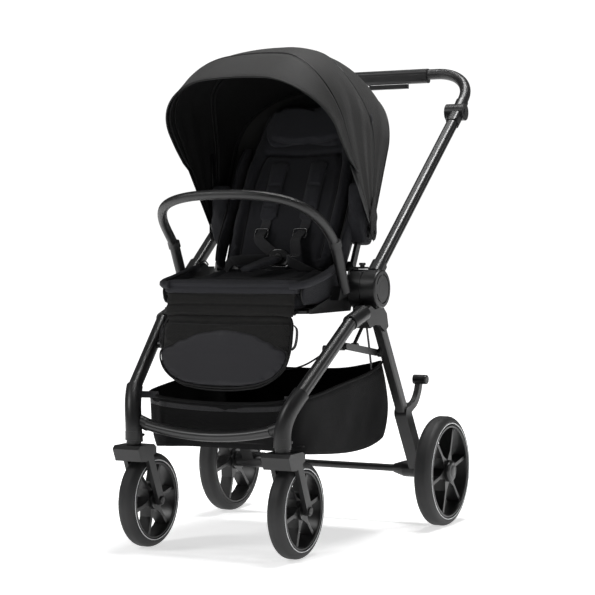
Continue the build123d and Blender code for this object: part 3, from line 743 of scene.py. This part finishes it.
def canopy_sheet(name, body, first, last, layer, foot, sag, tuck=0.0):
    """One canopy cloth from edge to edge over the bows; sag and tuck are in millimetres."""
    across, along = 121, 25
    sag, tuck = sag * MM, tuck * MM
    points = []
    for i in range(across):
        d = foot * (2 * i / (across - 1) - 1)
        start, stop = first(d), last(d)
        for j in range(along):
            t = j / (along - 1)
            angle = start + (stop - start) * t
            inset = layer * LAYER + sag * sin(pi * t) ** 1.3 - fold_height(d, angle) * sin(pi * t)
            inset += tuck * (1 - smoothstep(t * 6))
            points.append(hoop_point(d, angle, inset))
    mesh = to_mesh(name, points, grid_faces(across, along))
    made = piece(name, mesh, body, CANOPY_CLOTH)
    # The inner face takes the darker cloth: painted shade under the canopy.
    thicken(made, CLOTH_THICK, PAINTED_SHADE_LINING)
    return made


def edge_line(edge, foot, inset, count=90):
    """A line over the canopy along one of its edges."""
    stops = [foot * (2 * i / count - 1) for i in range(count + 1)]
    return [hoop_point(d, edge(d), inset) for d in stops]


BOW_FLAT, OVERLAP = (1.05, 0.15), 2.5
over_bow, over_visor = beside(bow_seam, OVERLAP), beside(visor_seam, OVERLAP)
rear = canopy_sheet(
    "canopy_rear_cloth", "back_rest", rear_edge, over_bow, 2, SIDE_FOOT, 0.5
)
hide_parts("canopy_rear")
mid = canopy_sheet(
    "canopy_mid_cloth", "canopy_mid", bow_seam, over_visor, 1, SIDE_FOOT, 0.8, 1.6
)
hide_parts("canopy_mid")
visor = canopy_sheet(
    "canopy_visor_cloth", "canopy_front", visor_seam, visor_edge, 0, VISOR_FOOT, 1.4, 2.4
)
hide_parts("canopy_front")

for name, edge, foot, inset, radius, body in (
    ("visor_piping", visor_edge, VISOR_FOOT, 0, 2.0, "canopy_front"),
    ("visor_seam_piping", visor_seam, VISOR_FOOT, 1.6 * MM, 1.5, "canopy_front"),
    ("bow_seam_piping", bow_seam, SIDE_FOOT, LAYER + 1.6 * MM, 1.5, "canopy_mid"),
    ("rear_edge_piping", rear_edge, SIDE_FOOT, 2 * LAYER, 2.0, "back_rest"),
):
    cord_piece(name, [edge_line(edge, foot, inset)], radius, body)


def closing_panel():
    """Cloth that closes the canopy's rear down to the outline of the back rest."""
    shell = [(0.128, 0.06), (0.146, 0.12), (0.147, 0.2), (0.145, 0.29), (0.135, 0.36)]
    shell += [(0.112, 0.42), (0.07, 0.438), (0.0, 0.44)]
    half = smooth_line([BACK.out(u, v, -0.009) for u, v in shell], 7)
    low_line = half + mirrored(reversed(half[:-1]))
    count, rows = len(low_line), 12
    points = []
    for i, low_point in enumerate(low_line):
        d = SIDE_FOOT * (1 - 2 * i / (count - 1)) * 0.86
        high_point = hoop_point(d, rear_edge(d) + 1.0, 2 * LAYER + 2 * MM)
        out = Vector((0.25 * low_point.x, 1, 0.25)).normalized()
        for j in range(rows):
            t = j / (rows - 1)
            points.append(high_point.lerp(low_point, t) + out * 0.014 * sin(pi * t))
    mesh = to_mesh("closing", points, grid_faces(count, rows))
    made = piece("canopy_closing_cloth", mesh, "back_rest", CANOPY_CLOTH)
    thicken(made, CLOTH_THICK)


closing_panel()

visor_stitching = [
    edge_line(beside(visor_edge, -1.1), VISOR_FOOT - 0.02, -0.5 * MM, 140),
    edge_line(beside(visor_seam, 1.3), VISOR_FOOT - 0.03, -0.1 * MM, 140),
]
stitches("visor_stitches", visor_stitching, "canopy_front", "canopy_cloth")
bow_stitching = edge_line(beside(bow_seam, 1.3), SIDE_FOOT - 0.06, LAYER - 0.1 * MM, 140)
stitches("bow_stitches", [bow_stitching], "canopy_mid", "canopy_cloth")

# bows inside the canopy, sewn in their cloth tunnels
for name, body, edge, turn, foot, inset, radius in (
    ("visor_bow", "canopy_front", visor_edge, -1.5, VISOR_FOOT - 0.01, 4.4 * MM, 2.6),
    ("middle_bow", "canopy_mid", bow_seam, 1.2, SIDE_FOOT - 0.02, 2 * LAYER + 5.2 * MM, 3.0),
    ("rear_bow", "back_rest", rear_edge, 1.5, SIDE_FOOT - 0.02, 3 * LAYER + 1.5 * MM, 3.4),
):
    line = edge_line(beside(edge, turn), foot, inset, 70)
    # The bows take the darker inner cloth, painted shade inside the canopy.
    cord_piece(name, [line], radius, body, PAINTED_SHADE_LINING)

TIP = [
    (-0.026, 0.04), (-0.019, -0.012), (-0.004, -0.025), (0.013, -0.014), (0.02, 0.04), (0.0, 0.085)
]
BAG = [(-0.04, 0.01), (-0.018, -0.03), (0.02, -0.03), (0.036, 0.02), (0.02, 0.1), (-0.03, 0.11)]
for side, tag in SIDES:
    for angle, body, depth in ((127, "canopy_front", 3.6), (94, "canopy_mid", 8.4)):
        x = side * (HALF_W - depth * MM)
        line = [about_pivot(x, r, angle) for r in (0.0, 0.04, 0.08, 0.12, 0.175)]
        across = Vector((0, 1, 0.3))
        rod(f"{body}_stay_{tag}", line, 6, 12, body, MOULDING, 0.8, across)
    axes = side_axes(side, HALF_W - 0.0005, PIVOT_Y, PIVOT_Z)
    tip = rounded(TIP, 0.016)
    name = f"canopy_tip_{tag}"
    pad(name, "canopy_front", axes, tip, (-2.2, 2.2), 1.2, CANOPY_CLOTH, 1, 0.004)

for side, tag in SIDES:
    axes = side_axes(side, 0.168, PIVOT_Y, PIVOT_Z)
    small_pad(
        f"canopy_side_bag_{tag}", "back_rest", axes, rounded(BAG, 0.02), (-20, 16), 3, None, 2
    )

# blank woven tab on the canopy's side seam
tab_d = FOOT - 0.256
tab = [
    hoop_point(tab_d + step, bow_seam(tab_d) - 0.6, LAYER * 0.62)
    for step in (-0.011, -0.004, 0.004, 0.011)
]
rod("canopy_tab", tab, 4.5, 12, "canopy_mid", SMOOTH_GREY, 0.5, Vector((0, 1, 0)))

# ---- back rest
back_outline = rounded(symmetric((0.128, 0.01), (0.14, 0.12), (0.139, 0.29), (0.12, 0.428)), 0.05)
back_pad = pad("back_pad", "back_rest", BACK, back_outline, (1.5, 24), 7)
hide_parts("back_cushion")


def bolster(u, v):
    """Raised sides of the back, fading out towards the head."""
    side = np.clip((np.abs(u) - 0.085) / 0.04, 0, 1)
    return 13 * MM * side * side * (3 - 2 * side) * np.clip((0.33 - v) / 0.08, 0, 1)


swell(back_pad, BACK, bolster)
BOLSTER_SEAM = ((0.097, 0.045), (0.101, 0.12), (0.103, 0.2), (0.098, 0.27), (0.088, 0.3))
bolster_seams = [[(s * u, v) for u, v in BOLSTER_SEAM] for s, _ in SIDES]
cross_seam = [(-0.088, 0.3), (0, 0.294), (0.088, 0.3)]
sew(back_pad, BACK, bolster_seams + [cross_seam], 7, 6)
bolster_lines = [laid(back_pad, BACK, s, 6, 0.4) for s in bolster_seams]
cord_piece("back_piping", bolster_lines, 1.3, "back_rest")

head_outline = rounded(
    symmetric((0.088, 0.308), (0.112, 0.35), (0.104, 0.408), (0.06, 0.424)), 0.03
)
head_pad = pad("head_pad", "back_rest", BACK, head_outline, (22, 36), 8, HEAD_CLOTH)
head_seam = [(-0.08, 0.33), (-0.045, 0.322), (0, 0.32), (0.045, 0.322), (0.08, 0.33)]
sew(head_pad, BACK, [head_seam], 3.5, 5)
stitches("head_stitches", [laid(head_pad, BACK, head_seam, 10)], "back_rest")

BACK_WING = [(0.004, 0.02), (0.034, 0.026), (0.046, 0.07), (0.042, 0.15)]
BACK_WING += [(0.046, 0.23), (0.044, 0.28), (0.026, 0.32), (0.004, 0.33)]
BACK_WING_RIM = [
    (0.036, 0.022), (0.048, 0.07), (0.044, 0.15), (0.048, 0.23), (0.046, 0.282), (0.028, 0.322)
]
PAD_U = 0.048
for side, tag in SIDES:
    wing_axes = Axes((side * 0.1475, -0.109, 0.54), BACK.base[2], BACK.base[1], (side, 0, 0))
    wing = rounded(BACK_WING, 0.03)
    small_pad(f"back_wing_{tag}", "back_rest", wing_axes, wing, (-6, 6), 4, None, 2)
    rim = [wing_axes.out(u, v, 0) for u, v in rounded(BACK_WING_RIM, 0.02)][3:-3]
    cord_piece(f"back_wing_piping_{tag}", [rim], 1.6, "back_rest")

    middle = side * PAD_U
    near, far = middle - 0.022, middle + 0.022
    strap_pad = rounded([(near, 0.13), (far, 0.13), (far, 0.278), (near, 0.278)], 0.014)
    made = small_pad(f"shoulder_pad_{tag}", "back_rest", BACK, strap_pad, (27, 35), 4.5, HEAD_CLOTH)
    sew(made, BACK, [[(middle - 0.01, v), (middle + 0.01, v)] for v in (0.165, 0.215)], 3, 3.4)
    near, far = middle - 0.018, middle + 0.018
    rim = [(near, 0.136), (far, 0.136), (far, 0.272), (near, 0.272), (near, 0.136)]
    stitches(f"shoulder_stitches_{tag}", [laid(made, BACK, rim, 12)], "back_rest", **SHORT_STITCH)
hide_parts("shoulder_straps")


# ---- harness
def ribbon(name, line, half, body, material=None, across=None, thick=0.8):
    """A flat strap along a line; its half width and half thickness are in millimetres."""
    material, across = material or FINISH["webbing"], across or Vector((1, 0, 0))
    return rod(name, smooth_line(line, 8), half, 12, body, material, thick, across)


BUCKLE = Vector((0.03, -0.168, 0.592))


def from_buckle(x, y, z):
    """A point by its distance from the buckle."""
    return BUCKLE + Vector((x, y, z))


for side, tag in SIDES:
    line = [
        BACK.out(side * u, v, n)
        for u, v, n in ((0.048, 0.15, 0.03), (0.048, 0.112, 0.034), (0.044, 0.075, 0.052))
    ]
    line += [from_buckle(side * 0.024, 0.026, 0.006), from_buckle(side * 0.016, 0.008, 0.004)]
    strap = ribbon(f"harness_strap_{tag}", line, 11.5, None)
    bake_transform(strap)
    adjuster_at = BACK.out(side * 0.0465, 0.094, 0.044)
    frame_line = [
        adjuster_at + Vector((u * 0.0155, v * 0.0095 * sin(LEAN), v * 0.0095))
        for u, v in rounded([(-1, -1), (1, -1), (1, 1), (-1, 1)], 0.4)
    ]
    cord_piece(f"strap_adjuster_{tag}", [frame_line], 1.7, "back_rest", GLOSSY, True)
    line = [
        (side * x, y, z)
        for x, y, z in ((0.128, -0.132, 0.548), (0.105, -0.16, 0.56), (0.066, -0.196, 0.586))
    ]
    line += [from_buckle(side * 0.024, 0.006, -0.003)]
    ribbon(f"waist_strap_{tag}", line, 10, "seat", across=Vector((0, -0.3, 1)))

buckle_axes = Axes(tuple(BUCKLE), (1, 0, 0), (0, 0, 1), (0, -1, 0))
buckle_outline = [
    (-0.024, 0.01), (-0.02, -0.018), (0.02, -0.018), (0.024, 0.01), (0.012, 0.019), (-0.012, 0.019)
]
mesh = to_mesh("buckle", *slab(rounded(buckle_outline, 0.008), buckle_axes, -5 * MM, 5 * MM))
buckle = piece("harness_buckle", mesh, "seat", GLOSSY, smooth=False)
edge = buckle.modifiers.new("edge", "BEVEL")
edge.width, edge.segments, edge.limit_method = 2.4 * MM, 3, "ANGLE"
apply_modifiers(buckle)
profile = [(0, 0.0095), (0.0014, 0.0092), (0.002, 0.008), (0.0014, 0.006), (0.0012, 0.001)]
points, faces = lathe(profile, (0, 0, 0))
points = [from_buckle(p[1], -0.0052 - p[0], p[2]) for p in points]
piece("buckle_button", to_mesh("buckle_button", points, faces), "seat", FINISH["cap"])
crotch_out = Vector((-0.04, -0.09, -0.03)).normalized()
crotch_across = crotch_out.cross(Vector((0, 0, 1))).normalized()
crotch_axes = Axes(tuple(BUCKLE), crotch_across, -crotch_out, crotch_across.cross(-crotch_out))
crotch_outline = rounded(symmetric((0.028, -0.012), (0.022, -0.096)), 0.012)
crotch = small_pad("crotch_pad", "seat", crotch_axes, crotch_outline, (-9, 3), 4, HEAD_CLOTH)
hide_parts("buckle_and_crotch_pad")
rim = [(-0.021, -0.022), (0.021, -0.022), (0.017, -0.088), (-0.017, -0.088), (-0.021, -0.022)]
stitches("crotch_stitches", [laid(crotch, crotch_axes, rim, 10)], "seat", **SHORT_STITCH)

# ---- seat
seat_outline = rounded(symmetric((0.153, -0.1), (0.153, 0.09)), 0.045)
seat_pad = pad("seat_pad", "seat", SEAT, seat_outline, (1.5, 54), 12)
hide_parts("seat_cushion")
swell(seat_pad, SEAT, lambda u, v: 24 * MM * np.clip((v + 0.01) / 0.09, 0, 1) ** 1.5)
seat_seams = [[(s * 0.1, -0.085), (s * 0.098, 0), (s * 0.1, 0.085)] for s in (-1, 1)]
sew(seat_pad, SEAT, seat_seams + [[(-0.145, -0.072), (0, -0.074), (0.145, -0.072)]], 5, 6)

roll_axes = Axes((0, -0.3225, 0.535), (1, 0, 0), (0, 0, 1), (0, -1, 0))
roll_outline = rounded(symmetric((0.158, -0.014), (0.155, 0.014)), 0.012)
# The front roll takes the lighter head cloth; part of that lightness is painted top light.
roll = small_pad(
    "seat_front_roll", "seat", roll_axes, roll_outline, (-18, 10), 4, HEAD_CLOTH, 2
)
roll_seam = [(-0.152, 0.001), (0, 0.0), (0.152, 0.001)]
sew(roll, roll_axes, [roll_seam], 2, 3)
stitches(
    "roll_stitches", [laid(roll, roll_axes, [(u, v + 0.006) for u, v in roll_seam], 40)], "seat"
)
tape = [roll_axes.out(u, -0.0155, 0.004) for u in (-0.15, -0.07, 0, 0.07, 0.15)]
ribbon("seat_front_tape", tape, 2.2, "seat", PIPING, Vector((0, 0, 1)))

SEAT_WING = [(-0.318, 0.496), (-0.326, 0.522), (-0.312, 0.545), (-0.26, 0.556), (-0.2, 0.57)]
SEAT_WING += [(-0.156, 0.586), (-0.134, 0.576), (-0.124, 0.54), (-0.126, 0.496)]
SEAT_WING_RIM = [(-0.316, 0.5), (-0.323, 0.521), (-0.31, 0.54), (-0.26, 0.552), (-0.2, 0.566)]
SEAT_WING_RIM += [(-0.157, 0.581), (-0.138, 0.573)]
SIDE_ROLL = [(0.14, -0.331, 0.538), (0.155, -0.327, 0.539), (0.166, -0.312, 0.542)]
SIDE_ROLL += [(0.169, -0.27, 0.549), (0.168, -0.22, 0.56), (0.162, -0.18, 0.57)]
for side, tag in SIDES:
    axes = side_axes(side, 0.1615)
    small_pad(f"seat_wing_{tag}", "seat", axes, rounded(SEAT_WING, 0.02), (-5, 3.6), 1.5, None)
    line = smooth_line([(u, v + 0.004, 0) for u, v in SEAT_WING_RIM], 8)
    cord_piece(
        f"seat_wing_piping_{tag}", [[axes.out(p.x, p.y, -0.7 * MM) for p in line]], 1.6, "seat"
    )
    line = smooth_line([(side * x, y, z) for x, y, z in SIDE_ROLL], 6)
    cord_piece(f"seat_side_roll_{tag}", [line], 8.5, "seat", HEAD_CLOTH)

# ---- leg rest
apron_outline = rounded(symmetric((0.152, -0.016), (0.153, 0.036)), 0.006)
apron = small_pad("seat_apron", None, REST, apron_outline, (8, 17), 2.5, BROWN_WEAVE)
sew(apron, REST, [[(-0.15, 0.008), (0, 0.01), (0.15, 0.008)]], 2.5, 3)
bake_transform(apron)

half = [(0.153, -0.004), (0.156, -0.08), (0.146, -0.126), (0.102, -0.16), (0.036, -0.17)]
rest_outline = rounded([(-u, v) for u, v in half] + half[::-1], 0.03)
rest_pad = pad("leg_rest_pad", "leg_rest", REST, rest_outline, (1.5, 16), 5, BROWN_WEAVE)
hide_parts("leg_rest")
upper_seam = [(-0.148, -0.026), (0, -0.028), (0.148, -0.026)]
sew(rest_pad, REST, [upper_seam], 3.5, 4)
arc_u = (-0.15, -0.12, -0.09, -0.06, -0.03, 0, 0.03, 0.06, 0.09, 0.12, 0.15)
arc = [(u, -0.036 - 0.052 * abs(u / 0.15) ** 1.9) for u in arc_u]
low = [
    (0.1495, -0.104), (0.139, -0.126), (0.118, -0.145), (0.085, -0.158), (0.04, -0.164),
    (0, -0.1652),
]
low += [(-u, v) for u, v in reversed(low[:-1])]
insert_rim = rounded(arc + low, 0.012)
small_pad("leg_rest_insert", "leg_rest", REST, insert_rim, (13, 20), 3, SMOOTH_GREY)
rim_line = [REST.out(u * 0.985, -0.11 + (v + 0.11) * 0.96, 0.0175) for u, v in insert_rim]
cord_piece("leg_rest_piping", [rim_line], 1.8, "leg_rest", closed=True)
outer_line = [REST.out(u * 0.958, -0.085 + (v + 0.085) * 0.95, 0.01) for u, v in rest_outline]
cord_piece("leg_rest_edge_piping", [outer_line], 3.2, "leg_rest", closed=True)
seam = laid(rest_pad, REST, [(u, v - 0.006) for u, v in upper_seam], 40)
stitches("leg_rest_stitches", [seam], "leg_rest")
LOOP = ((0.149, -0.03), (0.156, -0.038), (0.158, -0.055), (0.156, -0.072), (0.149, -0.08))
for side, tag in SIDES:
    lug = [REST.out(side * 0.118, v, n) for v, n in ((0.0, 0.0), (-0.012, 0.001), (-0.03, 0.003))]
    rod(f"leg_rest_lug_{tag}", lug, 5.5, 12, "leg_rest", MOULDING)
    pin = [Vector((side * x, -0.318, 0.487)) for x in (0.112, 0.124, 0.136)]
    rod(f"leg_rest_pin_{tag}", pin, 4, 16, "leg_rest", STEEL)
    loop = [REST.out(side * u, v, 0.006) for u, v in LOOP]
    ribbon(f"leg_rest_loop_{tag}", loop, 5, "leg_rest", across=Vector(REST.base[2]))

# ---- basket
RIM = [(0.1, -0.371, 0.314), (0.148, -0.369, 0.316), (0.186, -0.331, 0.318), (0.189, -0.187, 0.334)]
RIM += [(0.189, -0.063, 0.348), (0.188, -0.003, 0.366), (0.15, 0.003, 0.358), (0.075, 0.004, 0.347)]
BASE = [(0.1, -0.352, 0.207), (0.144, -0.35, 0.207), (0.178, -0.318, 0.202), (0.183, -0.165, 0.189)]
BASE += [(0.182, -0.05, 0.19), (0.178, 0.028, 0.204), (0.145, 0.046, 0.208), (0.075, 0.048, 0.204)]
BELLY = [(0.1, -0.368, 0.25), (0.148, -0.366, 0.25), (0.184, -0.327, 0.248), (0.188, -0.175, 0.24)]
BELLY += [(0.188, -0.05, 0.25), (0.187, 0.036, 0.268), (0.15, 0.048, 0.27), (0.075, 0.05, 0.268)]
WEB_FRONT = ((0.146, -0.368, 0.314), (0.166, -0.372, 0.314), (0.19, -0.378, 0.314))
WEB_REAR = ((0.187, -0.05, 0.35), (0.19, -0.066, 0.395), (0.192, -0.084, 0.447))


def basket_ring(corners, droop, count=9):
    """A closed line round the basket from one side's points, mirrored."""
    half = [Vector(p) for p in corners]
    line = smooth_line(half + mirrored(reversed(half)), count, closed=True)
    for p in line:
        front = smoothstep((-0.33 - p.y) / 0.03)
        p.z -= droop * front * (1 - (p.x / 0.19) ** 2)
    return line


def basket_cloth():
    """A sagging bag: walls from the rim to the base, and a base that hangs between its edges."""
    rim, belly, base = basket_ring(RIM, 0.012), basket_ring(BELLY, 0), basket_ring(BASE, -0.004)
    n, rows, inner = len(rim), 14, 10
    points = []
    middle = sum(base, Vector()) / n
    for j in range(rows + inner):
        for i in range(n):
            if j < rows:
                t = j / (rows - 1)
                bulge = 2 * belly[i] - 0.5 * (rim[i] + base[i])
                p = (1 - t) ** 2 * rim[i] + 2 * t * (1 - t) * bulge + t * t * base[i]
                away = Vector((p.x, p.y + 0.16, 0)).normalized()
                pull = 3 * MM * sin(pi * t)
                ripple = 1.6 * MM * sin(i * 2 * pi / n * 9 + 2.5 * t) * sin(pi * t)
                crease = 1.3 * MM * sin(i * 2 * pi / n * 23 + 5 * t + 1.0) * sin(pi * t) ** 2
                p = p - away * (pull + ripple + crease)
            else:
                t = (j - rows + 1) / inner
                p = base[i].lerp(middle, t)
                wave = 1.2 * MM * sin(i * 0.55 + 6 * t) * (1 - t)
                p = Vector((p.x, p.y, p.z - 5 * MM * sin(pi * t / 2) + wave))
            points.append(p)
    mesh = to_mesh("basket_cloth", points, band_faces(rows + inner, n))
    made = piece("basket_cloth", mesh, "front_frame", BASKET_CLOTH)
    rework(mesh, lambda work: bmesh.ops.remove_doubles(work, verts=work.verts, dist=0.0002))
    thicken(made, 1.4 * MM)
    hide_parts("basket")
    hem = cord_piece("basket_hem", [rim], 3.4, "front_frame", BASKET_CLOTH, True)

    def front_line(share, forward, limit):
        """A line over the basket's front, a share of the way down from the rim."""
        line = [q.lerp(b, share) + Vector((0, forward * MM, 0)) for q, b in zip(rim, base)]
        return sorted((p for p in line if p.y < limit), key=lambda p: p.x)

    tape = front_line(0.13, -2.5, -0.355)
    ribbon("basket_front_tape", tape, 5, "front_frame", across=Vector((0, 0, 1)), thick=0.7)
    seam = front_line(0.86, -2.0, -0.335)
    cord_piece("basket_front_seam", [seam], 1.6, "front_frame")
    for side, tag in SIDES:
        webs = (("front", WEB_FRONT, 7, (0, 0, 1)), ("rear", WEB_REAR, 4, (0, 1, 0)))
        for name, line, half, across in webs:
            hang = [Vector((side * x, y, z)) for x, y, z in line]
            ribbon(f"basket_strap_{name}_{tag}", hang, half, "front_frame", across=Vector(across))


basket_cloth()

# ---- wheels
REAR_AXLE, FRONT_AXLE = (0.141, 0.12), (-0.369, 0.097)
REAR_X, REAR_FACE, FRONT_X = 0.268, 0.288, 0.171
DRUM, KNEE, BRACKET = (0.24, -0.11, 0.527), (0.1845, -0.187, 0.411), (0.206, -0.261, 0.409)
HUB_CAP = [(-0.004, 0.0235), (0.0015, 0.0235), (0.0042, 0.0215), (0.0056, 0.016)]
HUB_CAP += [(0.005, 0.0145), (0.0062, 0.012), (0.0068, 0.001)]
NUT = [(0, 0.0085), (0.0018, 0.0085), (0.003, 0.007), (0.0026, 0.0045), (0.0034, 0.001)]
DISC = [(0, 0.02), (0.0016, 0.0197), (0.0022, 0.017), (0.0014, 0.013), (0.0016, 0.002)]
RIVET = [(0, 0.006), (0.0012, 0.0056), (0.0021, 0.004), (0.0025, 0.001)]


def annulus(x, axle, side, inner, outer, thick=0.5):
    """A flat ring on a wheel's face, with its thickness in millimetres."""
    thick, slope, sides = thick * MM, 0.2 * MM, 96
    profile = [(0, inner), (thick, inner + slope), (thick, outer - slope), (0, outer)]
    return turned(profile, (x, *axle), side, sides), band_faces(len(profile), sides, wrap=True)


def turned_piece(name, profile, centre, side, body, material, sides=40):
    """A small turned cap, disc or rivet."""
    piece(name, joined(name, [lathe(profile, centre, side, sides)]), body, material)


def ring_piece(name, rings, body, material):
    """Flat rings on a wheel."""
    piece(name, joined(name, rings), body, material)


for side, tag in SIDES:
    rear_body, front_body = f"rear_wheel_{tag}", f"front_wheel_{tag}"
    ring_piece(
        f"rear_ring_{tag}", [annulus(side * REAR_FACE, REAR_AXLE, side, 0.104, 0.1058)], rear_body,
        SILVER,
    )
    rings = [annulus(side * FRONT_X + s * 0.0185, FRONT_AXLE, s, 0.0808, 0.0826) for s in (1, -1)]
    ring_piece(f"front_ring_{tag}", rings, front_body, SILVER)
    turned_piece(
        f"rear_hub_cap_{tag}", HUB_CAP, (side * REAR_FACE, *REAR_AXLE), side, rear_body, MOULDING
    )
    for lip in (1, -1):
        where = f"{tag}_{'out' if lip == side else 'in'}"
        rings = [annulus(side * REAR_X + lip * 0.0168, REAR_AXLE, lip, 0.0955, 0.1022, 2.6)]
        ring_piece(f"rear_rim_lip_{where}", rings, rear_body, FINISH["rim"])
        rings = [annulus(side * FRONT_X + lip * 0.0155, FRONT_AXLE, lip, 0.0735, 0.0795, 2.2)]
        ring_piece(f"front_rim_lip_{where}", rings, front_body, FINISH["rim"])
        centre = (side * FRONT_X + lip * 0.031, *FRONT_AXLE)
        turned_piece(
            f"front_axle_cap_{where}", NUT, centre, lip, f"front_fork_{tag}", MOULDING, sides=24
        )

    # fold drum and joint rivets
    for name, profile, (x, y, z), way, body, material, slot, sides in (
        ("drum_disc", DISC, DRUM, side, "handle", FINISH["cap"], "cap", 40),
        ("knee_rivet", RIVET, KNEE, -side, "brace_front", STEEL, "pin_steel", 24),
        ("bracket_rivet", RIVET, BRACKET, side, "front_frame", STEEL, "pin_steel", 24),
    ):
        turned_piece(f"{name}_{tag}", profile, (side * x, y, z), way, body, material, sides)

# ---- grips
BAR_Y, BAR_Z, BAR_X, BAR_R = 0.4535, 1.02, 0.2215, 0.0125
BAR_CORNER, CORNER_STEPS = 0.095, 12
TILT_Y, TILT_Z = 0.349, 0.92
for side, tag in SIDES:
    radius = BAR_R + 0.4 * MM
    angles = [2 * pi * k / 40 for k in range(40)]
    line = [
        Vector((side * 0.104, BAR_Y + radius * cos(a), BAR_Z + radius * sin(a)))
        for a in angles
    ]
    cord_piece(f"grip_end_{tag}", [line], 0.8, "handle_bar", closed=True)

# stitched seam along the inner face of the push bar
to_bar = Vector((0, BAR_Y - TILT_Y, BAR_Z - TILT_Z)).normalized()
lift = Vector((0, -to_bar.z, to_bar.y)) * (BAR_R + 0.1 * MM)
seam_lines = []
for side, _ in SIDES:
    path = [
        Vector((side * 0.108, BAR_Y, BAR_Z)), Vector((side * (BAR_X - BAR_CORNER), BAR_Y, BAR_Z))
    ]
    for k in range(1, CORNER_STEPS):
        a = pi / 2 * k / CORNER_STEPS
        turning = Vector((side * (BAR_X - BAR_CORNER + BAR_CORNER * sin(a)), BAR_Y, BAR_Z))
        path.append(turning - to_bar * BAR_CORNER * (1 - cos(a)))
    path.append(Vector((side * BAR_X, BAR_Y, BAR_Z)) - to_bar * (BAR_CORNER + 0.01))
    seam_lines.append([p + lift for p in path])
stitches("bar_stitches", seam_lines, "handle_bar", "grip", 5 * MM, 3.4 * MM, 0.45 * MM)

# ---- floor and light
LIGHTS = (  # name, place, size in metres, power in watts
    ("key", (-2.2, -2.6, 2.9), 1.1, 42),
    ("fill", (3.6, 0.6, 1.5), 0.5, 16),
    ("top", (0.2, 0.3, 3.2), 1.2, 96),
)
AIM = Vector((0, 0, 0.5))
NEAR_GLOW, FAR_GLOW, SURROUND = 0.62, 1.05, 0.12


def studio():
    """A pale floor, a white surround and three soft lights."""
    bpy.ops.mesh.primitive_grid_add(x_subdivisions=8, y_subdivisions=8, size=60)
    floor = bpy.context.object
    floor.name = "floor"
    made, tree, bsdf, place, _ = shade("studio_floor", (0.9, 0.9, 0.9), 0.8, 0.004, 0.02)
    bsdf.inputs["Emission Color"].default_value = (1, 1, 1, 1)
    away = tree.nodes.new("ShaderNodeVectorMath")
    away.operation = "LENGTH"
    tree.links.new(place, away.inputs[0])
    glow = map_range(tree, away.outputs["Value"], NEAR_GLOW, FAR_GLOW, 0.5, 3.0)
    tree.links.new(glow, bsdf.inputs["Emission Strength"])
    floor.data.materials.append(made)
    world = bpy.data.worlds.new("studio")
    bpy.context.scene.world = world
    world.use_nodes = True
    tree = world.node_tree
    sky = tree.nodes["Background"]
    sky.inputs["Color"].default_value = (1, 1, 1, 1)
    seen = tree.nodes.new("ShaderNodeLightPath").outputs["Is Camera Ray"]
    tree.links.new(map_range(tree, seen, SURROUND, FAR_GLOW), sky.inputs["Strength"])
    for name, place, size, power in LIGHTS:
        light = bpy.data.lights.new(name, "AREA")
        light.shape, light.size, light.energy = "DISK", size, power
        lamp = bpy.data.objects.new(name, light)
        lamp.location = place
        lamp.rotation_euler = (AIM - Vector(place)).to_track_quat("-Z", "Y").to_euler()
        bpy.context.scene.collection.objects.link(lamp)
    bpy.context.scene.view_settings.view_transform = "Standard"


studio()
